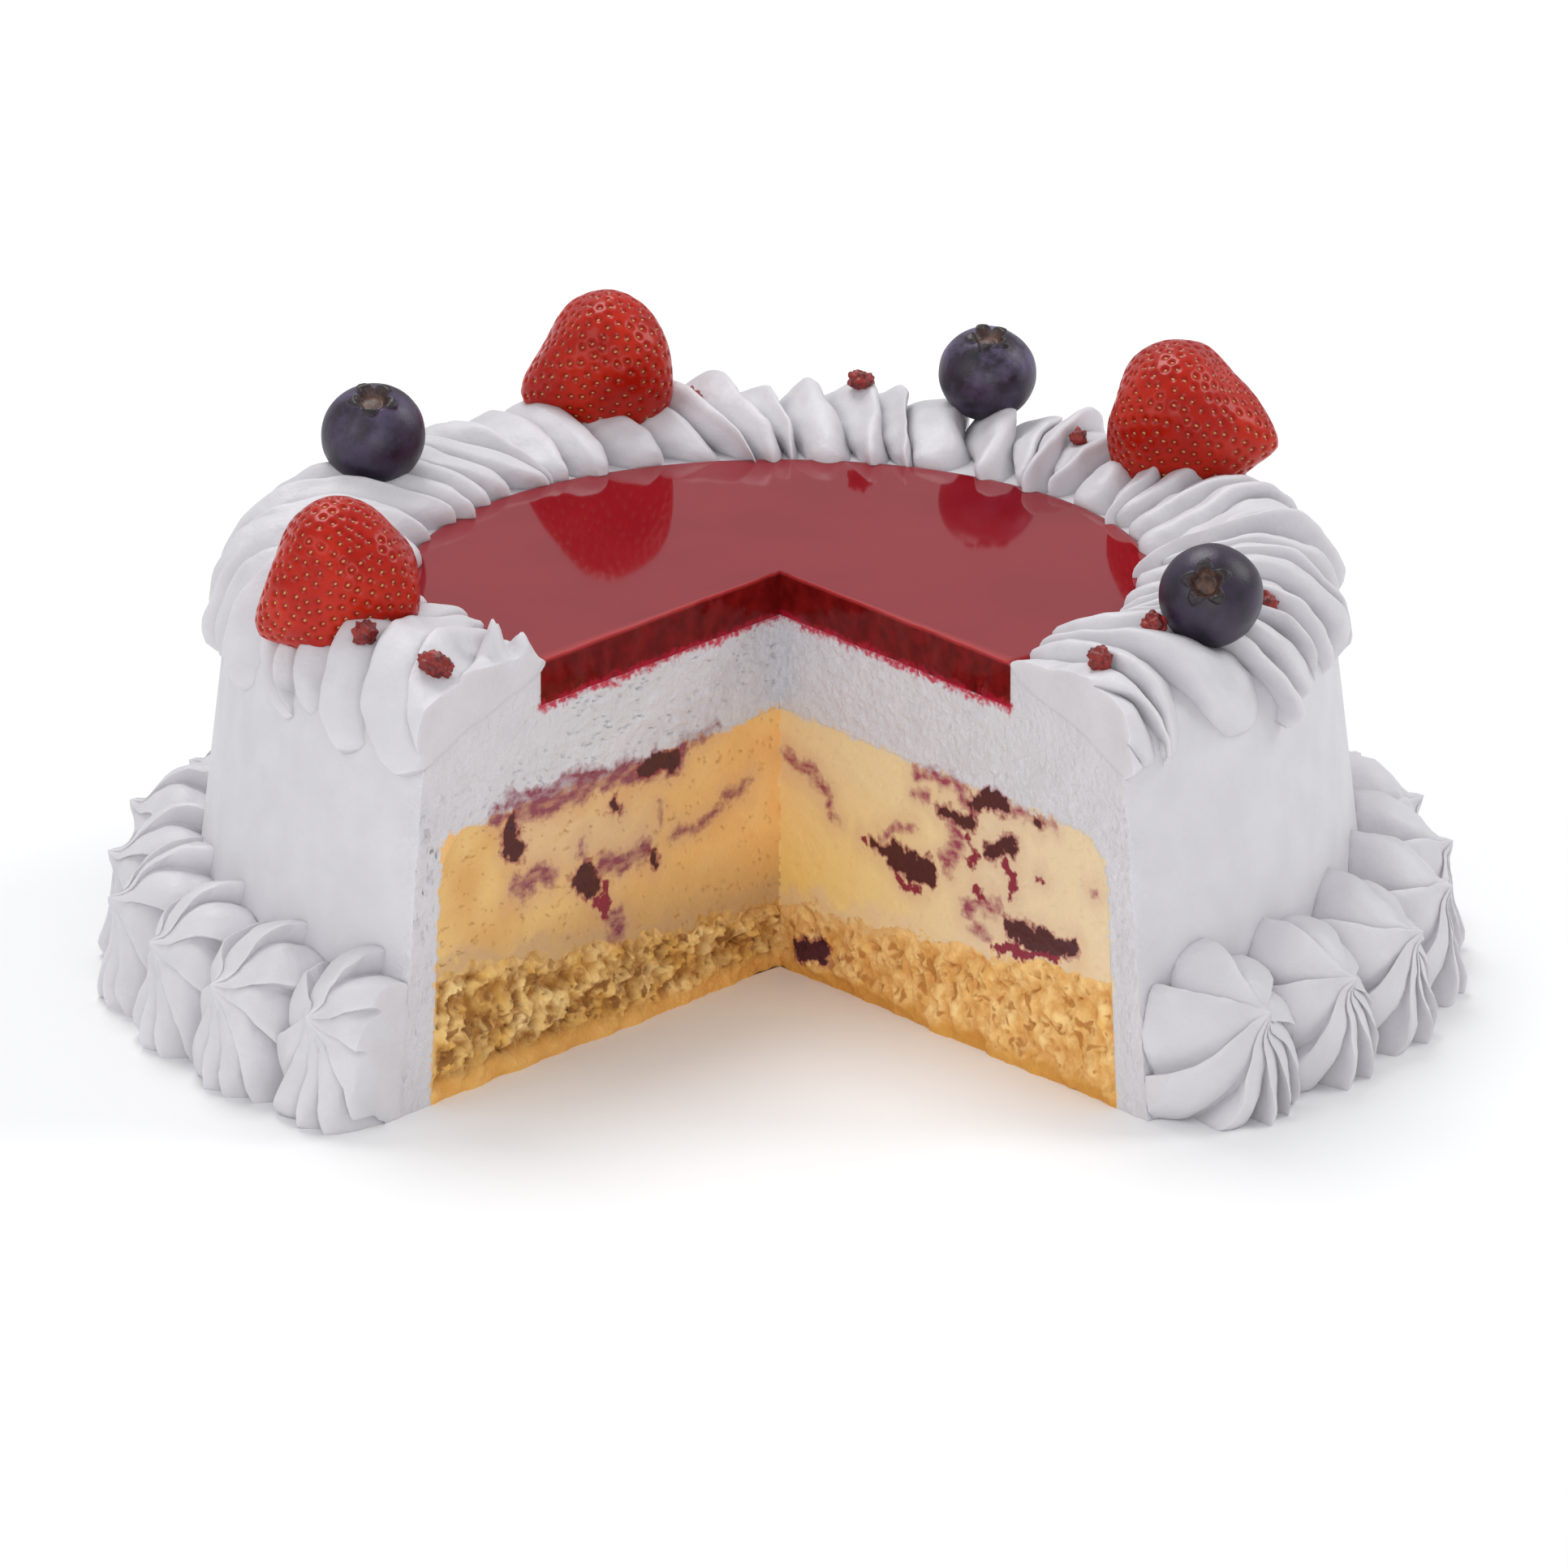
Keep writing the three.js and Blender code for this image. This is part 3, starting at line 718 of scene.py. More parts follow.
# %% Borders and berry marks
def frayed(tree, name, gone, full, size_mm=1.6, wave_mm=0.8, most=1):
    """The share inside a border, from the distance that the points carry, frayed by noise."""
    section = add(tree, "ShaderNodeAttribute", attribute_name="section").outputs["Vector"]
    waves = add(tree, "ShaderNodeTexNoise", {"Vector": section, "Scale": 1 / size_mm, "Detail": 3})
    swing = {"Value": waves, "From Min": 0.3, "From Max": 0.7, "To Min": -wave_mm, "To Max": wave_mm}
    shift = add(tree, "ShaderNodeMapRange", swing)
    away = add(tree, "ShaderNodeAttribute", attribute_name=name).outputs["Fac"]
    away = add(tree, "ShaderNodeMath", {0: away, 1: shift}, operation="ADD")
    return add(
        tree, "ShaderNodeMapRange", {"Value": away, "From Min": gone, "From Max": full, "To Max": most},
    )


def berry_coats(tree):
    """Coats for the berry marks: stains, thin in streaks, then crimson tails and edges, then dark pieces."""
    section = add(tree, "ShaderNodeAttribute", attribute_name="section").outputs["Vector"]
    drawn = add(tree, "ShaderNodeVectorMath", {0: section, 1: (0.4, 1, 1)}, operation="MULTIPLY")
    streaks = add(tree, "ShaderNodeTexNoise", {"Vector": drawn, "Scale": 1 / 1.5, "Detail": 3})
    thick = {"Value": streaks, "From Min": 0.36, "From Max": 0.58, "To Min": 0.5, "To Max": 1}
    stain = frayed(tree, "stain", 0.9, -0.9, most=add(tree, "ShaderNodeMapRange", thick))
    tails = frayed(tree, "crimson", 0.3, -0.3)
    edges = frayed(tree, "berry", 1, 0.1, most=0.75)
    crimson = add(tree, "ShaderNodeMath", {0: tails, 1: edges}, operation="MAXIMUM")
    left = add(tree, "ShaderNodeAttribute", attribute_name="left").outputs["Fac"]
    return [
        (painted(tree, linear("#9a3f57"), [(linear("#8d4656"), left)]), stain),
        (linear("#8a2239"), crimson),
        (linear("#491820"), frayed(tree, "berry", 0.15, -0.2)),
    ]


print("borders and berry marks ready")

# %% Cream
WHITES = ("#d1cfd3", "#d6d4d8")
EVEN = (1.0, 0.97, 0.95)
# Cream ice, whipped and then frozen: a slightly cool satin white, rougher where the knife scraped it.
# The air bubbles of both creams are too fine to show, so their grain is drawn coarser, at 1.3 mm
cream_ice, tree, shader = bare_material("cream_ice")
left = add(tree, "ShaderNodeAttribute", attribute_name="left").outputs["Fac"]
on_cut = add(tree, "ShaderNodeAttribute", attribute_name="cut").outputs["Fac"]
# Beside the ice cream the cut takes its yellow; the darker, more orange copy on the left cut is painted shade
core_and_shade_tone = painted(tree, linear("#ead3ac"), [(linear("#f1bd78"), left)])
coats = [
    (core_and_shade_tone, frayed(tree, "core", 0.35, -0.35)),
    *berry_coats(tree),
    (linear("#bf3a50"), frayed(tree, "bleed", 1.4, 0.2, 1.1, 0.9)),
]
scraped = add(tree, "ShaderNodeMapRange", {"Value": on_cut, "To Min": 0.25, "To Max": 1})
look = {
    "Base Color": painted(tree, mottled(tree, 8, *WHITES), coats),
    "Roughness": 0.5,
    "Normal": grained(tree, 1.3, 0.45, scraped),
}
join(tree, shader, look | soaked(0.25, 2, EVEN))

# Whipped cream, a foam of milk fat: the same white, smooth from the nozzle, with soft shadows in its folds
whipped_cream, tree, shader = bare_material("whipped_cream")
look = {
    "Base Color": mottled(tree, 8, *WHITES),
    "Roughness": 0.5,
    "Normal": grained(tree, 1.3, 0.15),
}
join(tree, shader, look | soaked(0.35, 2, EVEN))
print("finishes:", cream_ice.name, whipped_cream.name)

# %% Vanilla ice cream
# Churned with egg and frozen: a warm yellow with a satin sheen, paler to the outside, darker over the sponge.
# On the left cut, which lies in shade, its tones are darker, more orange copies: painted shade
vanilla_ice, tree, shader = bare_material("vanilla_ice_cream")
left, pores, berry, stain, crimson = [
    add(tree, "ShaderNodeAttribute", attribute_name=name).outputs["Fac"]
    for name in ("left", "pores", "berry", "stain", "crimson")
]
section = add(tree, "ShaderNodeAttribute", attribute_name="section").outputs["Vector"]
spot = add(tree, "ShaderNodeSeparateXYZ", {0: section})
out, up = spot.outputs["X"], spot.outputs["Y"]
outer = add(tree, "ShaderNodeMapRange", {"Value": out, "From Min": 5, "From Max": 60})
high = add(tree, "ShaderNodeMapRange", {"Value": up, "From Min": 18, "From Max": 40, "To Max": 0.75})
pale = add(tree, "ShaderNodeMath", {0: outer, 1: high}, operation="MAXIMUM")
over_sponge = add(tree, "ShaderNodeMapRange", {"Value": up, "From Min": 14, "From Max": 27})
# The left cut's tones are darker, more orange copies of the right's: painted shade
shaded_inner_tone, shaded_outer_tone = mottled(tree, 16, "#f6c076", "#f8cb88"), mottled(tree, 12, "#dba964", "#e8bf7c")
shaded_left_tone = painted(tree, shaded_inner_tone, [(shaded_outer_tone, outer)])
shaded_left_tone = painted(tree, linear("#c9a46e"), [(shaded_left_tone, over_sponge)])
near = add(tree, "ShaderNodeMath", {0: berry, 1: stain}, operation="MINIMUM")
near = add(tree, "ShaderNodeMath", {0: near, 1: crimson}, operation="MINIMUM")
halo = add(tree, "ShaderNodeMapRange", {"Value": near, "From Min": 4, "From Max": -0.5, "To Max": 0.4})
coats = [
    (linear("#e9d2ab"), pale),
    (shaded_left_tone, left),
    (linear("#e2bd8c"), frayed(tree, "milky", 3.5, -2, 5, 1.5)),
    (linear("#c79a8c"), halo),
]
yellow = painted(tree, linear("#fddb88"), coats)
# The smear and the crumb from the sponge are darker on the left cut too: painted shade
smear_and_shade_tone = painted(tree, linear("#edcfa8"), [(linear("#c9a47a"), left)])
right_crumb, shaded_left_crumb = mottled(tree, 3, "#e0ab64", "#f0c98e"), mottled(tree, 3, "#c08c46", "#e0b873")
coats = [
    (yellow, frayed(tree, "core", 0.35, -0.35)),
    (smear_and_shade_tone, frayed(tree, "smear", 3.2, 0.3, 5, 2.2, 0.7)),
    (painted(tree, right_crumb, [(shaded_left_crumb, left)]), frayed(tree, "crumb", 0.3, -0.3, 2.4, 1.6)),
    # The pores are painted darker: painted shade
    (linear("#b9803a"), add(tree, "ShaderNodeMapRange", {"Value": pores, "To Max": 0.5})),
    *berry_coats(tree),
]
look = {
    "Base Color": painted(tree, linear("#d2d0d4"), coats),
    "Roughness": 0.45,
    "Normal": grained(tree, 0.8, 0.1),
}
join(tree, shader, look | soaked(0.15, 3))
print("finish:", vanilla_ice.name)

# %% Sponge
# A baked foam of egg and flour: matt and golden, with a plain crust at its foot. Its pores, slits and low
# crumb are painted darker as shade, and darker still on the left cut, whose coarser crumb lies in shade
golden_sponge, tree, shader = bare_material("golden_sponge")
left, crumbs, lumps, pores, off_crust = [
    add(tree, "ShaderNodeAttribute", attribute_name=name).outputs["Fac"]
    for name in ("left", "crumbs", "lumps", "pores", "off_crust")
]
section = add(tree, "ShaderNodeAttribute", attribute_name="section").outputs["Vector"]
grit = add(tree, "ShaderNodeTexNoise", {"Vector": section, "Scale": 1 / 2.6, "Detail": 3, "Roughness": 0.5})
spread = {"Value": grit, "From Min": 0.32, "From Max": 0.68, "To Min": -0.7, "To Max": 0.7}
grit = add(tree, "ShaderNodeMapRange", spread)
# The lower the crumb and the lumps lie, the more of the darker tone they take: painted shade in the hollows
rise = add(tree, "ShaderNodeMath", {0: crumbs, 1: 0.7, 2: grit}, operation="MULTIPLY_ADD")
depth = add(tree, "ShaderNodeMapRange", {"Value": rise, "From Min": 0.4, "From Max": -0.9})
lump_shade = add(tree, "ShaderNodeMapRange", {"Value": lumps, "From Min": 0, "From Max": -0.9, "To Max": 0.6})
crowd = add(tree, "ShaderNodeTexNoise", {"Vector": section, "Scale": 1 / 13, "Detail": 1})
spread = {"Value": crowd, "From Min": 0.35, "From Max": 0.65, "To Min": 0.66, "To Max": 0.54}
crowd = add(tree, "ShaderNodeMapRange", spread)
# Slits are drawn by noise alone, and with the pores they take a dark tone: painted shade
slits = {"Vector": section, "Scale": 1 / 2.8, "Detail": 1, "Distortion": 0.5}
slits = add(tree, "ShaderNodeTexNoise", slits)
slits = add(tree, "ShaderNodeMath", {0: slits, 1: crowd}, operation="SUBTRACT")
slits = add(tree, "ShaderNodeMapRange", {"Value": slits, "From Max": 0.07})
pore_shade = add(tree, "ShaderNodeMath", {0: pores, 1: slits}, operation="MAXIMUM")

# The darker tones are painted shade, darker on the left cut, which lies in shade
right_high, left_high = mottled(tree, 4, "#f1be6e", "#fad692", 4), mottled(tree, 6, "#e8b45c", "#fddc98", 3)
crumb_shade_tone = painted(tree, linear("#d39448"), [(linear("#a8712d"), left)])
pore_shade_tone = painted(tree, linear("#b3722c"), [(linear("#8b5720"), left)])
smear_and_shade_tone = painted(tree, linear("#f7cb86"), [(linear("#deb272"), left)])
coats = [
    (left_high, left),
    (crumb_shade_tone, depth),
    (crumb_shade_tone, lump_shade),
    (pore_shade_tone, add(tree, "ShaderNodeMapRange", {"Value": pore_shade, "To Max": 0.8})),
    (smear_and_shade_tone, frayed(tree, "smear", 3.2, 0.3, 5, 2.2, 0.65)),
]
crumb = painted(tree, right_high, coats)
right_crust, left_crust = mottled(tree, 8, "#cd8f3a", "#dba14b"), mottled(tree, 8, "#e2a653", "#efba68")
coats = [(left_crust, left), (crumb, off_crust), *berry_coats(tree)]
look = {
    "Base Color": painted(tree, right_crust, coats),
    "Roughness": 0.85,
    "Normal": grained(tree, 0.7, 0.3),
}
join(tree, shader, look)
print("finish:", golden_sponge.name)

# %% Jelly
# Set from berry juice: wet and deep red, so that it mirrors the fruit, with a painted highlight along the top
# edge of its cut
red_jelly, tree, shader = bare_material("berry_jelly")
on_cut = add(tree, "ShaderNodeAttribute", attribute_name="cut").outputs["Fac"]
section = add(tree, "ShaderNodeAttribute", attribute_name="section").outputs["Vector"]
up = add(tree, "ShaderNodeSeparateXYZ", {0: section}).outputs["Y"]
# A painted highlight: a lighter red along the top edge of the cut
rim = {"Value": up, "From Min": JELLY_TOP - 0.8, "From Max": JELLY_TOP - 0.1, "To Max": on_cut}
coats = [
    (mottled(tree, 3, "#5e0e0d", "#771514"), on_cut),
    (linear("#a51a30"), frayed(tree, "bleed", 1.2, 0.1, 1.1, 0.6)),
    (linear("#b23a3c"), add(tree, "ShaderNodeMapRange", rim)),
]
look = {
    "Base Color": painted(tree, mottled(tree, 30, "#861520", "#8d1a22"), coats),
    "Roughness": 0.06,
    "IOR": 1.33,
    "Specular IOR Level": add(tree, "ShaderNodeMapRange", {"Value": on_cut, "To Min": 0.28, "To Max": 0.18}),
}
join(tree, shader, look | soaked(0.1, 2))
print("finish:", red_jelly.name)

# %% Layers into place
def set_piece(name, mesh, nodes=(), sharp=45):
    """Makes a mesh a finished piece of the cake that stands for its CAD nodes."""
    mesh.polygons.foreach_set("use_smooth", [True] * len(mesh.polygons))
    mesh.set_sharp_from_angle(angle=math.radians(sharp))
    piece = bpy.data.objects.new(name, mesh)
    bpy.context.scene.collection.objects.link(piece)
    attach(piece, BODY)
    if nodes:
        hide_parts(*nodes)
    mesh.calc_loop_triangles()
    print(name, len(mesh.loop_triangles), "triangles,", [m.name for m in mesh.materials])


# Name, node, finish, slot and the angle at which an edge counts as sharp
LAYERS = [
    ("sponge", "sponge_base", golden_sponge, "sponge", 70),
    ("ripple_ice_cream", "vanilla_ripple", vanilla_ice, "vanilla_ice", 45),
    ("coat", "cream_coat", cream_ice, "cream", 45),
    ("jelly", "red_jelly", red_jelly, "jelly", 45),
]
for name, node, finish, slot, sharp in LAYERS:
    mesh = run_tree(name, relief, finish, RELIEF[node], layer_meshes[node])
    set_piece(name, mesh, [node], sharp)

# %% [markdown]
# ## The rope of cream round the top
# The upper ring was piped in one go with a star nozzle, in small circles: a rope of leaves that overlap like
# roof tiles. Every leaf runs slanting from the jelly over the top and down to a lip that hangs over the wall,
# swells to a sharp edge and folds a little over its neighbour. Sweeping a star along a path would give ridges
# that run the wrong way, along the rope. So a flat grid is bent into shape by rule in Geometry Nodes: one
# direction of the grid counts leaves, the other walks round the rope's section, and the grid's lines follow
# the leaves, which keeps every edge crisp. Noise makes the leaves uneven, and beside the two cuts, where the
# knife pressed them, they are lower and flatter.

# %% Section of the rope
# Distance from the axis and height of the section's corners: over the top from inside to outside, and back
# underneath. The leaves grow from the middle, and the walk over the top takes this share of the sheet
ROPE_OVER = [
    (63.4, 72.8),
    (63.4, 74.4),
    (65.4, 76.6),
    (70, 78.5),
    (76, 80),
    (83, 81.2),
    (88.5, 80.6),
    (93.4, 78.2),
    (97.4, 74),
    (99.9, 69),
    (100.6, 64.6),
    (99.8, 61),
]
ROPE_UNDER = [(99.8, 61), (98.6, 60.2), (95.5, 61.6), (85, 66), (68, 70.5), (63.4, 72.8)]
ROPE_MIDDLE = (83, 68)
OVER_SHARE = 0.82


def run_shares(corners):
    """How far along a line each of its corners is, from 0 to 1."""
    run = np.concatenate([[0], np.cumsum(np.hypot(*np.diff(np.array(corners), axis=0).T))])
    return run / run[-1]


def level(values):
    """Values brought to the range from 0 to 1, with their least and greatest."""
    low, high = min(values), max(values)
    return [(v - low) / (high - low) for v in values], low, high


over_runs = OVER_SHARE * run_shares(ROPE_OVER)
under_runs = OVER_SHARE + (1 - OVER_SHARE) * run_shares(ROPE_UNDER)
rope_runs = [*over_runs, *under_runs[1:]]
rope_radius = level([r - ROPE_MIDDLE[0] for r, z in ROPE_OVER + ROPE_UNDER[1:]])
rope_height = level([z - ROPE_MIDDLE[1] for r, z in ROPE_OVER + ROPE_UNDER[1:]])
print(
    "rope is", round(rope_radius[2] - rope_radius[1], 1), "mm wide,",
    round(rope_height[2] - rope_height[1], 1), "mm high",
)

# %% A tree that pipes the rope
LEAVES, LEAF_STEPS, SECTION_STEPS = 56, 22, 58
LEAF = [
    (0, 0), (0.04, 0.42), (0.1, 0.78), (0.17, 0.96), (0.25, 1), (0.36, 0.96), (0.5, 0.84), (0.64, 0.68),
    (0.78, 0.5), (0.9, 0.28), (1, 0),
]
FULL_TURN = 2 * math.pi
# Keeps a point on the border of two leaves in the second one, whatever way its count is rounded
NUDGE = 1e-4
ROPE_SIZES = [
    "First place", "Leaf width", "Depth", "Slant", "Fold", "Circle", "Circle depth", "Stray", "Swell",
    "Own reach", "Round end", "Pressed arc", "Pressed share",
]
rope_tree, size = new_tree("Piped rope", ROPE_SIZES)
put = functools.partial(add, rope_tree)
sheet = put(
    "GeometryNodeMeshGrid",
    {"Size X": 1, "Size Y": 1, "Vertices X": LEAVES * LEAF_STEPS + 1, "Vertices Y": SECTION_STEPS + 1},
)
spot = put("ShaderNodeSeparateXYZ", {0: put("GeometryNodeInputPosition")})
count = put(
    "ShaderNodeMapRange",
    {"Value": spot.outputs["X"], "From Min": -0.5, "From Max": 0.5, "To Max": LEAVES},
)
walk = put("ShaderNodeMath", {0: spot.outputs["Y"], 1: 0.5}, operation="ADD")
going = put("ShaderNodeMath", {0: walk, 1: OVER_SHARE}, operation="DIVIDE")
coming = put(
    "ShaderNodeMapRange",
    {"Value": walk, "From Min": OVER_SHARE, "From Max": 1, "To Min": 1, "To Max": 0},
)
outward = put("ShaderNodeMath", {0: going, 1: coming}, operation="MINIMUM")
radius = put("ShaderNodeFloatCurve", {"Value": walk}, curve=list(zip(rope_runs, rope_radius[0])))
radius = put("ShaderNodeMapRange", {"Value": radius, "To Min": rope_radius[1], "To Max": rope_radius[2]})
height = put("ShaderNodeFloatCurve", {"Value": walk}, curve=list(zip(rope_runs, rope_height[0])))
height = put("ShaderNodeMapRange", {"Value": height, "To Min": rope_height[1], "To Max": rope_height[2]})
print("rope tree so far:", len(rope_tree.nodes), "nodes")

# %% Leaves of the rope
in_leaf = put(
    "ShaderNodeMath", {0: put("ShaderNodeMath", {0: count, 1: NUDGE}, operation="ADD")},
    operation="FRACT",
)
swelling = put("ShaderNodeFloatCurve", {"Value": in_leaf}, curve=LEAF)
hollow = put("ShaderNodeMath", {0: 1, 1: swelling}, operation="SUBTRACT")
where = put(
    "ShaderNodeFloatCurve", {"Value": walk},
    curve=[
        (0, 0.55), (0.12, 0.62), (0.4, 0.78), (0.62, 0.95), (0.82, 1), (0.88, 0.25), (0.96, 0.25),
        (1, 0.55),
    ],
)
circle = put("ShaderNodeMath", {0: count, 1: size["Circle"]}, operation="DIVIDE")
circle = put(
    "ShaderNodeMath", {0: put("ShaderNodeMath", {0: circle, 1: FULL_TURN}, operation="MULTIPLY")},
    operation="COSINE",
)
circle_end = put(
    "ShaderNodeMath",
    {0: put("ShaderNodeMapRange", {"Value": circle, "From Min": -1, "From Max": 1}), 1: 3},
    operation="POWER",
)
deeper = put("ShaderNodeMath", {0: circle_end, 1: size["Circle depth"], 2: 1}, operation="MULTIPLY_ADD")
sunk = hollow
for share in (where, deeper, size["Depth"]):
    sunk = put("ShaderNodeMath", {0: sunk, 1: share}, operation="MULTIPLY")
off_rib = put(
    "ShaderNodeMath",
    {0: put("ShaderNodeMath", {0: in_leaf, 1: 2, 2: -1}, operation="MULTIPLY_ADD"), 1: 2},
    operation="POWER",
)
tongue = put(
    "ShaderNodeFloatCurve", {"Value": walk},
    curve=[
        (0, 1), (0.06, 0.7), (0.16, 0.1), (0.25, 0), (0.6, 0), (0.7, 0.2), (0.78, 0.8), (0.82, 1),
        (0.88, 0.5), (0.95, 0.5), (1, 1),
    ],
)
rounded = put("ShaderNodeMath", {0: off_rib, 1: tongue}, operation="MULTIPLY")
rounded = put("ShaderNodeMath", {0: rounded, 1: size["Round end"]}, operation="MULTIPLY")
sunk = put("ShaderNodeMath", {0: sunk, 1: rounded}, operation="ADD")
print("rope tree so far:", len(rope_tree.nodes), "nodes")


# %% Uneven leaves
def drift(tree, count, pace, start):
    """A smooth random value from -1 to 1 that changes along a count."""
    moving = add(tree, "ShaderNodeMath", {0: count, 1: pace, 2: start}, operation="MULTIPLY_ADD")
    waves = add(tree, "ShaderNodeTexNoise", {"W": moving, "Scale": 1, "Detail": 1}, noise_dimensions="1D")
    return add(
        tree, "ShaderNodeMapRange",
        {"Value": waves, "From Min": 0.25, "From Max": 0.75, "To Min": -1, "To Max": 1},
    )


# How much the slant and the depth change from leaf to leaf, as shares of their own size
SLANT_CHANGE, DEPTH_CHANGE = 0.9, 0.35
turned = put(
    "ShaderNodeMath", {0: drift(rope_tree, count, 0.37, 40), 1: size["Stray"], 2: count},
    operation="MULTIPLY_ADD",
)
turned = put(
    "ShaderNodeMath", {0: turned, 1: size["Leaf width"], 2: size["First place"]},
    operation="MULTIPLY_ADD",
)
off_middle = put("ShaderNodeMath", {0: outward, 1: 0.5}, operation="SUBTRACT")
own_slant = put(
    "ShaderNodeMath", {0: drift(rope_tree, count, 0.31, 80), 1: SLANT_CHANGE, 2: 1},
    operation="MULTIPLY_ADD",
)
own_slant = put("ShaderNodeMath", {0: own_slant, 1: size["Slant"]}, operation="MULTIPLY")
turned = put("ShaderNodeMath", {0: off_middle, 1: own_slant, 2: turned}, operation="MULTIPLY_ADD")
print("rope tree so far:", len(rope_tree.nodes), "nodes")

# %% Leaves pressed down beside the cuts
past_right = put("ShaderNodeMath", {0: turned, 1: RIGHT_CUT}, operation="SUBTRACT")
before_left = put("ShaderNodeMath", {0: LEFT_CUT, 1: turned}, operation="SUBTRACT")
beside = put("ShaderNodeMath", {0: past_right, 1: before_left}, operation="MINIMUM")
least = put("ShaderNodeMath", {0: 1, 1: size["Pressed share"]}, operation="SUBTRACT")
kept = put(
    "ShaderNodeMapRange",
    {"Value": beside, "From Max": size["Pressed arc"], "To Min": least, "To Max": 1},
    interpolation_type="SMOOTHSTEP",
)

grown = put(
    "ShaderNodeMath", {0: drift(rope_tree, count, 0.73, 0), 1: size["Swell"], 2: 1},
    operation="MULTIPLY_ADD",
)
own_depth = put(
    "ShaderNodeMath", {0: drift(rope_tree, count, 0.83, 120), 1: DEPTH_CHANGE, 2: 1},
    operation="MULTIPLY_ADD",
)
sunk = put("ShaderNodeMath", {0: sunk, 1: own_depth}, operation="MULTIPLY")
sunk = put("ShaderNodeMath", {0: sunk, 1: kept}, operation="MULTIPLY")
grown = put("ShaderNodeMath", {0: grown, 1: sunk}, operation="SUBTRACT")
leaf_number = put(
    "ShaderNodeMath", {0: put("ShaderNodeMath", {0: count, 1: NUDGE}, operation="ADD")},
    operation="FLOOR",
)
own_reach = put(
    "FunctionNodeRandomValue", {2: -1.0, 3: 1.0, "ID": leaf_number, "Seed": 21}, data_type="FLOAT",
).outputs[1]
ends = put(
    "ShaderNodeFloatCurve", {"Value": walk},
    curve=[
        (0, 0.7), (0.15, 0.5), (0.3, 0.3), (0.45, 0.6), (0.6, 0.3), (0.75, 0.8), (0.82, 1), (0.9, 0.3),
        (0.96, 0.3), (1, 0.7),
    ],
)
own_reach = put(
    "ShaderNodeMath",
    {0: put("ShaderNodeMath", {0: own_reach, 1: ends}, operation="MULTIPLY"), 1: swelling},
    operation="MULTIPLY",
)
grown = put("ShaderNodeMath", {0: own_reach, 1: size["Own reach"], 2: grown}, operation="MULTIPLY_ADD")
folded = put("ShaderNodeMath", {0: swelling, 1: where}, operation="MULTIPLY")
folded = put("ShaderNodeMath", {0: folded, 1: kept}, operation="MULTIPLY")
turned = put("ShaderNodeMath", {0: folded, 1: size["Fold"], 2: turned}, operation="MULTIPLY_ADD")
print("rope tree so far:", len(rope_tree.nodes), "nodes")

# %% Leaves set in place
far = put("ShaderNodeMath", {0: radius, 1: grown, 2: ROPE_MIDDLE[0]}, operation="MULTIPLY_ADD")
up = put("ShaderNodeMath", {0: height, 1: grown, 2: ROPE_MIDDLE[1]}, operation="MULTIPLY_ADD")
under_rim = put("ShaderNodeMath", {0: up, 1: RIM_TOP}, operation="MINIMUM")
over_rim = put("ShaderNodeMath", {0: up, 1: under_rim}, operation="SUBTRACT")
up = put("ShaderNodeMath", {0: over_rim, 1: kept, 2: under_rim}, operation="MULTIPLY_ADD")
angle = put(
    "ShaderNodeMath", {0: put("ShaderNodeMath", {0: turned, 1: 90}, operation="SUBTRACT")},
    operation="RADIANS",
)
upright = put("ShaderNodeCombineXYZ", {"X": far, "Z": up})
# The two edges of the sheet that meet under the rope, and how near they have to be to merge
SEAM_EDGE, SEAM_GAP = 0.4999, 3e-5
on_seam = put(
    "ShaderNodeMath",
    {0: put("ShaderNodeMath", {0: spot.outputs["Y"]}, operation="ABSOLUTE"), 1: SEAM_EDGE},
    operation="GREATER_THAN",
)
marked = put(
    "GeometryNodeStoreNamedAttribute", {"Geometry": sheet, "Name": "seam", "Value": on_seam},
    data_type="FLOAT", domain="POINT",
)
bent = put(
    "GeometryNodeSetPosition",
    {
        "Geometry": marked,
        "Position": put(
            "ShaderNodeVectorRotate", {"Vector": upright, "Angle": angle}, rotation_type="Z_AXIS",
        ),
    },
)
print("rope tree so far:", len(rope_tree.nodes), "nodes")


# %% Rope closed and made real
def uneven_cream(tree, geometry, size_mm, depth):
    """Moves piped cream a little every way, in waves of about this size, and brings it to metres."""
    waves = add(
        tree, "ShaderNodeTexNoise",
        {"Vector": add(tree, "GeometryNodeInputPosition"), "Scale": 1 / size_mm, "Detail": 2},
    )
    every_way = add(
        tree, "ShaderNodeVectorMath", {0: waves.outputs["Color"], 1: (0.5, 0.5, 0.5)},
        operation="SUBTRACT",
    )
    offset = add(tree, "ShaderNodeVectorMath", {0: every_way, "Scale": depth}, operation="SCALE")
    moved = add(tree, "GeometryNodeSetPosition", {"Geometry": geometry, "Offset": offset})
    return add(tree, "GeometryNodeTransform", {"Geometry": moved, "Scale": (MM, MM, MM), "Translation": AXIS})


seam = put("GeometryNodeInputNamedAttribute", {"Name": "seam"}, data_type="FLOAT")
lumpy = uneven_cream(rope_tree, bent, 15, 4)
closed = {"Geometry": lumpy, "Selection": seam, "Distance": SEAM_GAP}
end_tree(rope_tree, put("GeometryNodeMergeByDistance", closed), size["Finish"])

# %% [markdown]
# ## Cutting the piping with the slice
# The knife went through the piping too. The rope runs a little past both cut planes and is cut there, and the
# open ends are filled, so that they show flat faces. They lie a hair in front of the coat, which is flat
# there. A Boolean with a wedge could do the same, but it wants a mesh that doesn't cross itself, as folded
# cream does. So each plane cuts by itself, and every rim in it is filled on its own. Dictionaries keep the
# parts of the mesh in one order, so that every run cuts alike.

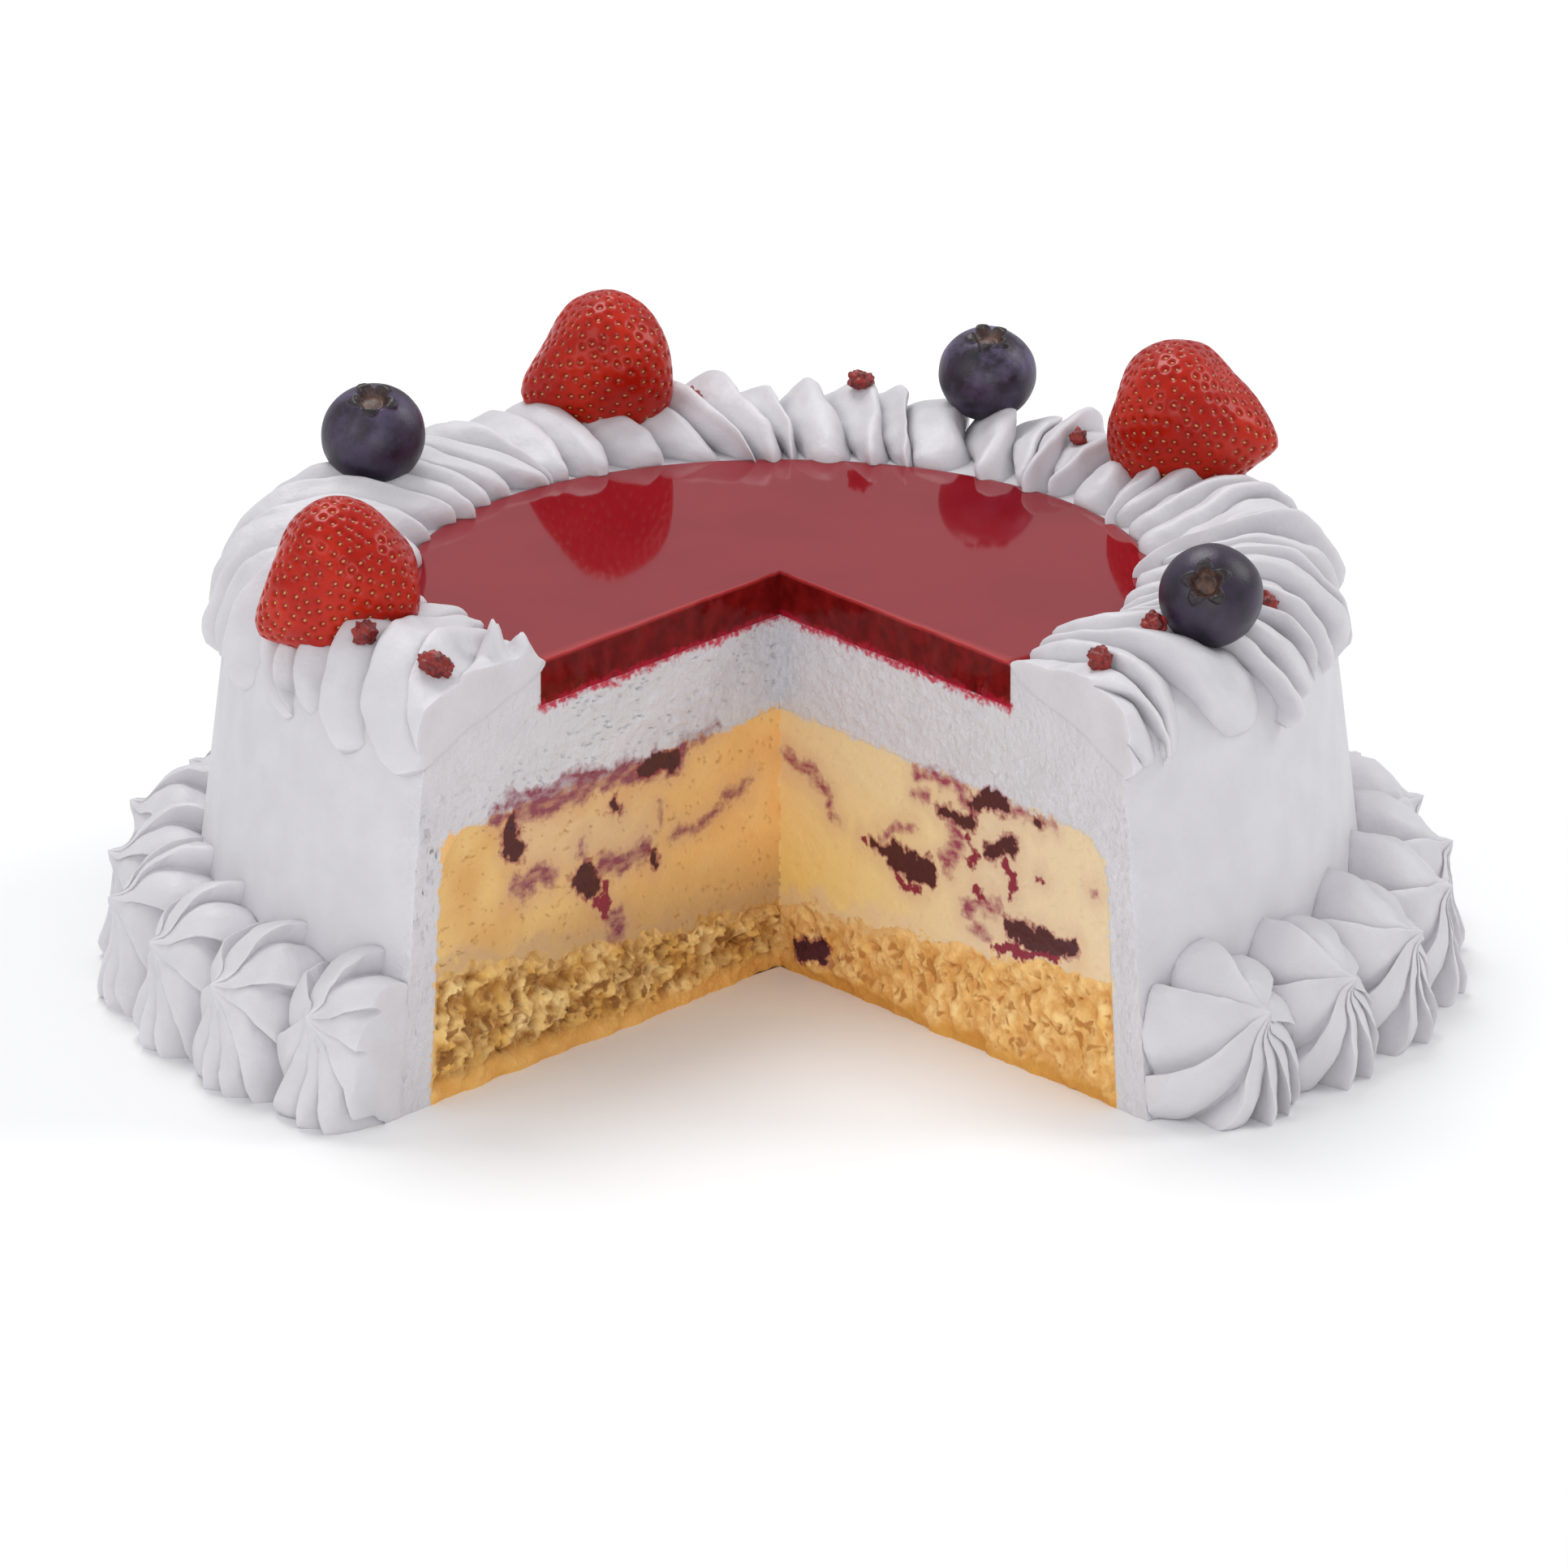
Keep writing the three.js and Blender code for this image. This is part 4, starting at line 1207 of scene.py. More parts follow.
# %% The knife
# The knife's planes lie so far in front of the coat's own, in millimetres. HAIR is in metres: a point that is
# so near to a plane is on it
IN_FRONT = 0.05
HAIR = 1e-6
# The middle of the piping beside a cut, how far round it the knife cuts, and how far it clears the slice
KNIFE_MIDDLE, KNIFE_REACH, SLICE_REACH = (92.0, 40.0), 70, 90


def close_rims(whole, plane, facing):
    """Fills every closed rim that lies in a plane by itself, with flat triangles."""

    def is_flat(part):
        corners = getattr(part, "verts", [part])
        return part.is_boundary and all(abs((v.co - plane).dot(facing)) < HAIR for v in corners)

    bmesh.ops.remove_doubles(whole, verts=[v for v in whole.verts if is_flat(v)], dist=HAIR)
    left = dict.fromkeys(e for e in whole.edges if is_flat(e))
    while left:
        rim = [left.popitem()[0]]
        for edge in rim:
            for near in (e for v in edge.verts for e in v.link_edges):
                if near in left:
                    del left[near]
                    rim.append(near)
        filled = bmesh.ops.edgeloop_fill(whole, edges=rim)
        bmesh.ops.triangulate(whole, faces=filled["faces"], ngon_method="EAR_CLIP")


print("rims can be closed")


# %% Cut and closed
def knife_cut(mesh):
    """Cuts away what reaches into the missing slice, beside each of its planes, and closes the ends."""
    whole = bmesh.new()
    whole.from_mesh(mesh)
    for place, sign in ((RIGHT_CUT, -1), (LEFT_CUT, 1)):
        facing = Vector(cut_facing(place, sign))
        plane = AXIS + facing * IN_FRONT * MM
        middle = Vector(at(place, *KNIFE_MIDDLE))
        close = [v for v in whole.verts if (v.co - middle).length < KNIFE_REACH * MM]
        faces = dict.fromkeys(f for v in close for f in v.link_faces)
        parts = dict.fromkeys(part for f in faces for part in (*f.verts, *f.edges, f))
        bmesh.ops.bisect_plane(whole, geom=list(parts), plane_co=plane, plane_no=facing)
        beside = [v for v in whole.verts if (v.co - middle).length < SLICE_REACH * MM]
        gone = [v for v in beside if (v.co - plane).dot(facing) > HAIR]
        bmesh.ops.delete(whole, geom=gone, context="VERTS")
        close_rims(whole, plane, facing)
    bmesh.ops.recalc_face_normals(whole, faces=whole.faces)
    whole.to_mesh(mesh)
    whole.free()
    return mesh


print("knife ready")

# %% The rope with its peaks
rope_sizes = {
    "First place": RIGHT_CUT - 18.6,
    "Leaf width": 5.8,
    "Depth": 0.42,
    "Slant": 13,
    "Fold": -1.3,
    "Circle": 4,
    "Circle depth": 0.6,
    "Stray": 0.3,
    "Swell": 0.06,
    "Own reach": 0.15,
    "Round end": 0.3,
    "Pressed arc": 7,
    "Pressed share": 0.6,
}


def pull_up(mesh, peaks):
    """Pulls the cream up into small peaks, as a knife does when it is lifted out."""
    spots = np.array([v.co for v in mesh.vertices])
    on_top = smooth(spots[:, 2], (RIM_TOP - 1) * MM, (RIM_TOP + 1) * MM)
    for place, radius, lift, width in peaks:
        away = np.hypot(*(spots - at(place, radius, 0))[:, :2].T) / (width * MM)
        spots[:, 2] += lift * MM * on_top * np.exp(-(away**2))
    mesh.vertices.foreach_set("co", spots.ravel())
    return mesh


# Place, distance from the axis, height and half width of each peak beside the left cut
KNIFE_PEAKS = [(318.6, 74.5, 7, 1.8), (319.6, 68.8, 4.5, 2)]
rope_mesh = knife_cut(pull_up(run_tree("rope", rope_tree, whipped_cream, rope_sizes), KNIFE_PEAKS))
set_piece("piped_rope", rope_mesh, ["top_border"], 60)

# %% [markdown]
# ## The ring of stars at the foot
# At the foot the nozzle was pressed into the corner between wall and floor and pulled away, which leaves a
# star with a short drawn-out tip, broad round petals up the wall and narrow ridges down to the floor. Each
# star starts as a ball. Its lines of longitude become petals, its latitude walks from the tip to the back,
# and two curves give the star's outline. All stars are made in one go: points on a ring carry their own turn
# and size, a ball is set on each, and once the balls are real the rule bends every one by its own values.

# %% A tree that pipes the stars
PETALS, PETAL_STEPS, STAR_RINGS, STAR_COUNT = 9, 13, 36, 23
WALL_SLOPE = (WALL_FOOT_RADIUS - WALL_TOP_RADIUS) / (RIM_TOP - SHOULDER_RADIUS)
# Height of a petal from crest to crest, half width and length of a star from its tip to its back, and how
# far the petals turn on the way
PETAL = [
    (0, 0.92), (0.05, 1), (0.13, 0.97), (0.3, 0.8), (0.5, 0.56), (0.7, 0.28), (0.83, 0.08), (0.9, 0.02),
    (0.95, 0.4), (1, 0.92),
]
STAR_OUTLINE = [
    (0, 17.4),
    (0.8, 16.9),
    (1.5, 15.8),
    (3, 14.8),
    (6.6, 13.6),
    (10.6, 11.6),
    (14, 8),
    (16.2, 2.6),
    (16.9, -4),
    (14.8, -10),
    (9, -13.6),
    (0, -15),
]
SWIRL = [(0, 0), (0.08, 0.6), (0.2, 1), (0.4, 0.85), (0.7, 0.3), (1, 0)]
STAR_SIZES = [
    "First place", "Step", "Ring radius", "Ring height", "Lean", "Depth", "Broad petals", "Fold",
    "Twist", "Stretch", "Spread", "Uneven", "Spin", "Foot",
]
star_tree, size = new_tree("Piped stars", STAR_SIZES)
put = functools.partial(add, star_tree)
ring = put("GeometryNodePoints", {"Count": STAR_COUNT})
star_place = put(
    "ShaderNodeMath", {0: put("GeometryNodeInputIndex"), 1: size["Step"], 2: size["First place"]},
    operation="MULTIPLY_ADD",
)
one_to = put("FunctionNodeRandomValue", {2: -1.0, 3: 1.0, "Seed": 11}, data_type="FLOAT").outputs[1]
star_size = put("ShaderNodeMath", {0: one_to, 1: size["Uneven"], 2: 1}, operation="MULTIPLY_ADD")
star_spin = put("FunctionNodeRandomValue", {2: -1.0, 3: 1.0, "Seed": 5}, data_type="FLOAT").outputs[1]
for name, value in (("place", star_place), ("size", star_size), ("spin", star_spin)):
    ring = put(
        "GeometryNodeStoreNamedAttribute", {"Geometry": ring, "Name": name, "Value": value},
        data_type="FLOAT", domain="POINT",
    )
ball = put("GeometryNodeMeshUVSphere", {"Segments": PETALS * PETAL_STEPS, "Rings": STAR_RINGS, "Radius": 1})
ball = put(
    "GeometryNodeStoreNamedAttribute",
    {"Geometry": ball, "Name": "ball", "Value": put("GeometryNodeInputPosition")},
    data_type="FLOAT_VECTOR", domain="POINT",
)
balls = put(
    "GeometryNodeRealizeInstances",
    {"Geometry": put("GeometryNodeInstanceOnPoints", {"Points": ring, "Instance": ball})},
)
print("star tree so far:", len(star_tree.nodes), "nodes")

# %% Petals of a star
spot = put(
    "ShaderNodeSeparateXYZ",
    {0: put("GeometryNodeInputNamedAttribute", {"Name": "ball"}, data_type="FLOAT_VECTOR")},
)
walk = put(
    "ShaderNodeMath",
    {0: put("ShaderNodeMath", {0: spot.outputs["Z"]}, operation="ARCCOSINE"), 1: math.pi},
    operation="DIVIDE",
)
turn = put("ShaderNodeMath", {0: spot.outputs["Y"], 1: spot.outputs["X"]}, operation="ARCTAN2")
count = put("ShaderNodeMath", {0: turn, 1: PETALS / FULL_TURN, 2: NUDGE}, operation="MULTIPLY_ADD")
crest = put(
    "ShaderNodeFloatCurve", {"Value": put("ShaderNodeMath", {0: count}, operation="FRACT")},
    curve=PETAL,
)
star_runs = run_shares(STAR_OUTLINE)
star_width, star_length = level([w for w, l in STAR_OUTLINE]), level([l for w, l in STAR_OUTLINE])
wide = put("ShaderNodeFloatCurve", {"Value": walk}, curve=list(zip(star_runs, star_width[0])))
wide = put("ShaderNodeMath", {0: wide, 1: star_width[2]}, operation="MULTIPLY")
long = put("ShaderNodeFloatCurve", {"Value": walk}, curve=list(zip(star_runs, star_length[0])))
long = put("ShaderNodeMapRange", {"Value": long, "To Min": star_length[1], "To Max": star_length[2]})
where = put(
    "ShaderNodeFloatCurve", {"Value": walk},
    curve=[(0, 0.4), (0.12, 0.85), (0.3, 1), (0.6, 0.95), (0.8, 0.5), (1, 0)],
)
sunk = put(
    "ShaderNodeMath", {0: put("ShaderNodeMath", {0: 1, 1: crest}, operation="SUBTRACT"), 1: where},
    operation="MULTIPLY",
)
sunk = put("ShaderNodeMath", {0: sunk, 1: size["Depth"]}, operation="MULTIPLY")
wide = put(
    "ShaderNodeMath", {0: wide, 1: put("ShaderNodeMath", {0: 1, 1: sunk}, operation="SUBTRACT")},
    operation="MULTIPLY",
)
print("star tree so far:", len(star_tree.nodes), "nodes")

# %% Petals bent
own_size = put("GeometryNodeInputNamedAttribute", {"Name": "size"}, data_type="FLOAT")
own_spin = put("GeometryNodeInputNamedAttribute", {"Name": "spin"}, data_type="FLOAT")
own_place = put("GeometryNodeInputNamedAttribute", {"Name": "place"}, data_type="FLOAT")
to_top = put(
    "ShaderNodeMath", {0: put("ShaderNodeMath", {0: turn}, operation="SINE"), 1: size["Broad petals"]},
    operation="MULTIPLY",
)
swung = put("ShaderNodeMath", {0: turn, 1: to_top}, operation="SUBTRACT")
swung = put("ShaderNodeMath", {0: own_spin, 1: size["Spin"], 2: swung}, operation="MULTIPLY_ADD")
swirl = put("ShaderNodeFloatCurve", {"Value": walk}, curve=SWIRL)
swung = put("ShaderNodeMath", {0: swirl, 1: size["Twist"], 2: swung}, operation="MULTIPLY_ADD")
folded = put(
    "ShaderNodeMath", {0: put("ShaderNodeMath", {0: crest, 1: 3}, operation="POWER"), 1: where},
    operation="MULTIPLY",
)
folded = put("ShaderNodeMath", {0: folded, 1: size["Fold"]}, operation="MULTIPLY")
swung = put("ShaderNodeMath", {0: swung, 1: folded}, operation="SUBTRACT")
side = put(
    "ShaderNodeMath", {0: wide, 1: put("ShaderNodeMath", {0: swung}, operation="COSINE")},
    operation="MULTIPLY",
)
over = put(
    "ShaderNodeMath", {0: wide, 1: put("ShaderNodeMath", {0: swung}, operation="SINE")},
    operation="MULTIPLY",
)
upright = put("ShaderNodeCombineXYZ", {"X": side, "Y": over, "Z": long})
leaning = put("ShaderNodeVectorRotate", {"Vector": upright, "Angle": size["Lean"]}, rotation_type="Y_AXIS")
print("star tree so far:", len(star_tree.nodes), "nodes")

# %% Stars leaned against the wall
stretch = put("ShaderNodeCombineXYZ", {"X": 1, "Y": size["Spread"], "Z": size["Stretch"]})
sized = put("ShaderNodeVectorMath", {0: leaning, 1: stretch}, operation="MULTIPLY")
sized = put("ShaderNodeVectorMath", {0: sized, "Scale": own_size}, operation="SCALE")
ring_spot = put("ShaderNodeCombineXYZ", {"X": size["Ring radius"], "Z": size["Ring height"]})
on_ring = put("ShaderNodeVectorMath", {0: sized, 1: ring_spot}, operation="ADD")
# Height of the ridges that run out on the floor, how far a back goes into the wall, and no bound at all
SKIRT_HEIGHT, INTO_WALL, NO_BOUND = 11, 0.6, -1000
rise = put("ShaderNodeSeparateXYZ", {0: on_ring}).outputs["Z"]
low = put(
    "ShaderNodeMapRange", {"Value": rise, "From Max": SKIRT_HEIGHT, "To Min": 1, "To Max": 0},
    interpolation_type="SMOOTHSTEP",
)
foot = put(
    "ShaderNodeMath",
    {0: put("ShaderNodeMath", {0: low, 1: crest}, operation="MULTIPLY"), 1: size["Foot"]},
    operation="MULTIPLY",
)
on_ring = put(
    "ShaderNodeVectorMath", {0: on_ring, 1: put("ShaderNodeCombineXYZ", {"X": foot})}, operation="ADD",
)
wall = put(
    "ShaderNodeMath", {0: rise, 1: -WALL_SLOPE, 2: WALL_FOOT_RADIUS - INTO_WALL},
    operation="MULTIPLY_ADD",
)
wall = put("ShaderNodeCombineXYZ", {"X": wall, "Y": NO_BOUND, "Z": NO_BOUND})
on_wall = put("ShaderNodeVectorMath", {0: on_ring, 1: wall}, operation="MAXIMUM")
over_wall = put("ShaderNodeVectorMath", {0: on_wall, 1: wall}, operation="SUBTRACT")
at_back = put(
    "ShaderNodeMapRange", {"Value": walk, "From Min": 0.66, "From Max": 0.8, "To Max": -1},
    interpolation_type="SMOOTHSTEP",
)
drawn_in = put(
    "ShaderNodeMath", {0: put("ShaderNodeSeparateXYZ", {0: over_wall}), 1: at_back},
    operation="MULTIPLY",
)
on_wall = put(
    "ShaderNodeVectorMath", {0: on_wall, 1: put("ShaderNodeCombineXYZ", {"X": drawn_in})},
    operation="ADD",
)
angle = put(
    "ShaderNodeMath", {0: put("ShaderNodeMath", {0: own_place, 1: 90}, operation="SUBTRACT")},
    operation="RADIANS",
)
set_round = put("ShaderNodeVectorRotate", {"Vector": on_wall, "Angle": angle}, rotation_type="Z_AXIS")
stars = put("GeometryNodeSetPosition", {"Geometry": balls, "Position": set_round})
end_tree(star_tree, uneven_cream(star_tree, stars, 10, 3), size["Finish"])


# %% Stars on the floor
def trim_to_floor(mesh):
    """Cuts off what the floor flattened, and closes it."""
    whole = bmesh.new()
    whole.from_mesh(mesh)
    everything = whole.verts[:] + whole.edges[:] + whole.faces[:]
    floor_spot, down = Vector((0, 0, 0)), Vector((0, 0, -1))
    bmesh.ops.bisect_plane(whole, geom=everything, plane_co=floor_spot, plane_no=down, clear_outer=True)
    close_rims(whole, floor_spot, down)
    whole.to_mesh(mesh)
    whole.free()
    return mesh


star_sizes = {
    "First place": 45.3,
    "Step": 12.33,
    "Ring radius": 103.5,
    "Ring height": 10.5,
    "Lean": math.radians(62),
    "Depth": 0.3,
    "Broad petals": 0.45,
    "Fold": 0.16,
    "Twist": 0.5,
    "Stretch": 1.15,
    "Spread": 0.98,
    "Uneven": 0.06,
    "Spin": 0.35,
    "Foot": 3,
}
star_mesh = knife_cut(trim_to_floor(run_tree("stars", star_tree, whipped_cream, star_sizes)))
set_piece("piped_stars", star_mesh, ["base_border"], 60)

# %% [markdown]
# ## Strawberries
# A strawberry is a cone with a round shoulder, and its skin is full of small hollows with a seed in each. The
# body is a ball bent by a rule, as with the stars. Points are then spread over it, never closer than a set
# gap, as seeds grow. The distance of the skin from the nearest point presses the hollows, and a small
# flattened seed is set into each one, lying towards the tip.

# %% A tree that grows a strawberry
def berry_girth(share):
    """Half width of a strawberry from its hulled end, 0, to its tip, 1."""
    return (1 - share**1.8) ** 0.68 * (1 - (1 - share) ** 5) ** 0.5


girth_steps = np.array([0, 0.01, 0.03, 0.07, 0.14, 0.24, 0.36, 0.5, 0.64, 0.78, 0.88, 0.95, 0.985, 1])
girths = level(list(berry_girth(girth_steps)))[0]
# Slow waves that make a berry uneven, and half the length, width and height of a seed
WAVE_LENGTH, WAVE_DEPTH = 11, 3
SEED_HALF = (0.42, 0.24, 0.16)
STRAWBERRY_SIZES = ["Length", "Width", "Seed gap", "Hollow width", "Hollow depth", "Lobes", "Seed"]
strawberry_tree, size = new_tree("Strawberry", STRAWBERRY_SIZES)
put = functools.partial(add, strawberry_tree)
ball = put("GeometryNodeMeshUVSphere", {"Segments": 220, "Rings": 150, "Radius": 1})
spot = put("ShaderNodeSeparateXYZ", {0: put("GeometryNodeInputPosition")})
walk = put("ShaderNodeMapRange", {"Value": spot.outputs["Z"], "From Min": 1, "From Max": -1})
turn = put("ShaderNodeMath", {0: spot.outputs["Y"], 1: spot.outputs["X"]}, operation="ARCTAN2")
girth = put("ShaderNodeFloatCurve", {"Value": walk}, curve=list(zip(girth_steps, girths)))
half = put("ShaderNodeMath", {0: size["Width"], 1: 0.5}, operation="MULTIPLY")
three = put(
    "ShaderNodeMath",
    {0: put("ShaderNodeMath", {0: turn, 1: 3, 2: size["Seed"]}, operation="MULTIPLY_ADD")},
    operation="COSINE",
)
lobed = put("ShaderNodeMath", {0: three, 1: size["Lobes"], 2: 1}, operation="MULTIPLY_ADD")
reach = put(
    "ShaderNodeMath", {0: put("ShaderNodeMath", {0: girth, 1: half}, operation="MULTIPLY"), 1: lobed},
    operation="MULTIPLY",
)
across = put(
    "ShaderNodeMath", {0: reach, 1: put("ShaderNodeMath", {0: turn}, operation="COSINE")},
    operation="MULTIPLY",
)
over = put(
    "ShaderNodeMath", {0: reach, 1: put("ShaderNodeMath", {0: turn}, operation="SINE")},
    operation="MULTIPLY",
)
along_it = put(
    "ShaderNodeMath",
    {0: put("ShaderNodeMath", {0: walk, 1: 0.5}, operation="SUBTRACT"), 1: size["Length"]},
    operation="MULTIPLY",
)
body = put(
    "GeometryNodeStoreNamedAttribute", {"Geometry": ball, "Name": "walk", "Value": walk},
    data_type="FLOAT", domain="POINT",
)
body = put(
    "GeometryNodeSetPosition",
    {
        "Geometry": body,
        "Position": put("ShaderNodeCombineXYZ", {"X": across, "Y": over, "Z": along_it}),
    },
)
body = put("GeometryNodeFlipFaces", {"Mesh": body})
waves = put(
    "ShaderNodeTexNoise",
    {
        "Vector": put("GeometryNodeInputPosition"), "W": size["Seed"], "Scale": 1 / WAVE_LENGTH,
        "Detail": 0,
    },
    noise_dimensions="4D",
)
every_way = put("ShaderNodeVectorMath", {0: waves.outputs["Color"], 1: (0.5, 0.5, 0.5)}, operation="SUBTRACT")
body = put(
    "GeometryNodeSetPosition",
    {
        "Geometry": body,
        "Offset": put("ShaderNodeVectorMath", {0: every_way, "Scale": WAVE_DEPTH}, operation="SCALE"),
    },
)
print("strawberry tree so far:", len(strawberry_tree.nodes), "nodes")

# %% Hollows for the seeds
spread = put(
    "GeometryNodeDistributePointsOnFaces",
    {"Mesh": body, "Distance Min": size["Seed gap"], "Density Max": 2, "Seed": size["Seed"]},
    distribute_method="POISSON",
)
near = put("GeometryNodeProximity", {0: spread}, target_element="POINTS")
hollow = put(
    "ShaderNodeMapRange",
    {"Value": near.outputs["Distance"], "From Max": size["Hollow width"], "To Min": 1, "To Max": 0},
    interpolation_type="SMOOTHSTEP",
)
press = put(
    "ShaderNodeMath",
    {0: hollow, 1: put("ShaderNodeMath", {0: size["Hollow depth"], 1: -1}, operation="MULTIPLY")},
    operation="MULTIPLY",
)
# The hollow share is kept so that the skin's finish can paint shade into the hollows
skin = put(
    "GeometryNodeStoreNamedAttribute", {"Geometry": body, "Name": "hollow", "Value": hollow},
    data_type="FLOAT", domain="POINT",
)
inward = put("ShaderNodeVectorMath", {0: put("GeometryNodeInputNormal"), "Scale": press}, operation="SCALE")
skin = put("GeometryNodeSetPosition", {"Geometry": skin, "Offset": inward})
print("strawberry tree so far:", len(strawberry_tree.nodes), "nodes")

# %% Strawberry skin and seeds
# The skin is smooth, taut and wet: a clear gloss over red, and a deeper red in each hollow as painted shade
strawberry_skin, tree, shader = bare_material("strawberry_skin")
sunk = add(tree, "ShaderNodeAttribute", attribute_name="hollow").outputs["Fac"]
look = {
    "Base Color": painted(tree, mottled(tree, 8, "#a61808", "#bc2710"), [(linear("#86100a"), sunk)]),
    "Roughness": 0.24,
    "Specular IOR Level": 0.25,
}
join(tree, shader, look | soaked(0.1, 1.5))

# A seed is a small hard nut: straw yellow, with a dull sheen
strawberry_seed, tree, shader = bare_material("strawberry_seed")
join(tree, shader, {"Base Color": linear("#cf9450"), "Roughness": 0.4})
print("finishes:", strawberry_skin.name, strawberry_seed.name)

# %% Seeds set into the hollows
seed = put(
    "GeometryNodeTransform",
    {
        "Geometry": put("GeometryNodeMeshIcoSphere", {"Radius": 1, "Subdivisions": 2}),
        "Scale": SEED_HALF,
    },
)
sunk_in = put(
    "ShaderNodeVectorMath",
    {
        0: spread.outputs["Normal"],
        "Scale": put("ShaderNodeMath", {0: size["Hollow depth"], 1: -0.95}, operation="MULTIPLY"),
    },
    operation="SCALE",
)
bed = put("GeometryNodeSetPosition", {"Geometry": spread, "Offset": sunk_in})
lying = put(
    "FunctionNodeAlignRotationToVector", {"Rotation": spread.outputs["Rotation"], "Vector": (0, 0, 1)},
    axis="X", pivot_axis="Z",
)
seed_size = put("FunctionNodeRandomValue", {2: 0.8, 3: 1.15, "Seed": 4}, data_type="FLOAT").outputs[1]
seeds = put(
    "GeometryNodeInstanceOnPoints",
    {"Points": bed, "Instance": seed, "Rotation": lying, "Scale": seed_size},
)
seeds = put(
    "GeometryNodeSetMaterial",
    {"Geometry": put("GeometryNodeRealizeInstances", {"Geometry": seeds}), "Material": strawberry_seed},
)
skin = put("GeometryNodeSetMaterial", {"Geometry": skin, "Material": size["Finish"]})
whole = put("GeometryNodeJoinGeometry", {0: skin})
strawberry_tree.links.new(seeds.outputs[0], whole.inputs[0])
put("NodeGroupOutput", {"Geometry": put("GeometryNodeTransform", {"Geometry": whole, "Scale": (MM, MM, MM)})})
print("strawberry tree:", len(strawberry_tree.nodes), "nodes")


# %% Three strawberries on the rope
def laid(mesh, place, radius, height, aim):
    """Turns a fruit so that its long axis points along its aim, and moves it to its place."""
    turned = Vector(aim).to_track_quat("Z", "Y").to_matrix().to_4x4()
    mesh.transform(Matrix.Translation(Vector(at(place, radius, height))) @ turned)
    return mesh


# Name, place, distance from the axis, height, length, width, and the way that the tip points
STRAWBERRIES = [
    ("strawberry_left", -62.8, 87.5, 83.2, 30, 27.5, (-0.8, -0.1, -0.59)),
    ("strawberry_back", -157.3, 86, 85.2, 27.5, 26.5, (-0.88, -0.25, -0.36)),
    ("strawberry_right", 123.2, 88, 85.2, 30, 27.5, (0.93, -0.15, -0.25)),
]
for number, (name, place, radius, height, length, width, aim) in enumerate(STRAWBERRIES):
    sizes = {
        "Length": length, "Width": width, "Seed gap": 1.95, "Hollow width": 1.0, "Hollow depth": 0.45,
        "Lobes": 0.04, "Seed": 3 + number,
    }
    mesh = laid(run_tree(name, strawberry_tree, strawberry_skin, sizes), place, radius, height, aim)
    set_piece("fresh_" + name, mesh, [name], 80)

# %% [markdown]
# ## Blueberries
# A blueberry is a slightly flattened ball with a cup at its crown, and five dry sepals stand round the cup.
# The ball is bent by its distance from the crown: a curve sinks the cup, and a wave of five lifts the sepals.
# The skin is nearly black, with purple and a pale bloom of wax that is rubbed off in places. Most of the
# bloom is near the crown, and one berry has more of it than another. The berry on the right gets little,
# which also darkens it as painted shade.

# %% A tree that grows a blueberry
BLUEBERRY_SIZES = ["Width", "Flat", "Cup depth", "Sepal height", "Bloom", "Seed"]
blueberry_tree, size = new_tree("Blueberry", BLUEBERRY_SIZES)
put = functools.partial(add, blueberry_tree)
ball = put("GeometryNodeMeshUVSphere", {"Segments": 160, "Rings": 140, "Radius": 1})
spot = put("ShaderNodeSeparateXYZ", {0: put("GeometryNodeInputPosition")})
polar = put("ShaderNodeMath", {0: spot.outputs["Z"]}, operation="ARCCOSINE")
turn = put("ShaderNodeMath", {0: spot.outputs["Y"], 1: spot.outputs["X"]}, operation="ARCTAN2")
ragged = put(
    "ShaderNodeTexNoise",
    {"Vector": put("GeometryNodeInputPosition"), "W": size["Seed"], "Scale": 4, "Detail": 2},
    noise_dimensions="4D",
)
rough = put(
    "ShaderNodeMapRange",
    {"Value": ragged, "From Min": 0.3, "From Max": 0.7, "To Min": -1, "To Max": 1},
)
# Angles from the crown are in radians: the cup ends at about 0.3 and the sepals at about 0.4
edge = put("ShaderNodeMath", {0: rough, 1: 0.035, 2: polar}, operation="MULTIPLY_ADD")
cup = put(
    "ShaderNodeMapRange", {"Value": edge, "From Min": 0.22, "From Max": 0.34, "To Min": 1, "To Max": 0},
    interpolation_type="SMOOTHSTEP",
)
five = put(
    "ShaderNodeMath",
    {0: put("ShaderNodeMath", {0: turn, 1: 5, 2: size["Seed"]}, operation="MULTIPLY_ADD")},
    operation="COSINE",
)
pointed = put("ShaderNodeMath", {0: five, 1: -0.1, 2: edge}, operation="MULTIPLY_ADD")
sepal = put(
    "ShaderNodeMapRange",
    {"Value": pointed, "From Min": 0.36, "From Max": 0.44, "To Min": 1, "To Max": 0},
    interpolation_type="SMOOTHSTEP",
)
standing = put("ShaderNodeMath", {0: sepal, 1: cup}, operation="SUBTRACT")
lift = put("ShaderNodeMath", {0: standing, 1: size["Sepal height"]}, operation="MULTIPLY")
sink = put("ShaderNodeMath", {0: cup, 1: size["Cup depth"]}, operation="MULTIPLY")
dents = put(
    "ShaderNodeTexNoise",
    {"Vector": put("GeometryNodeInputPosition"), "W": size["Seed"], "Scale": 1.2, "Detail": 1},
    noise_dimensions="4D",
)
round_it = put("ShaderNodeMapRange", {"Value": dents, "To Min": 0.97, "To Max": 1.03})
reach = put(
    "ShaderNodeMath", {0: put("ShaderNodeMath", {0: round_it, 1: lift}, operation="ADD"), 1: sink},
    operation="SUBTRACT",
)
half = put("ShaderNodeMath", {0: size["Width"], 1: 0.5 * MM}, operation="MULTIPLY")
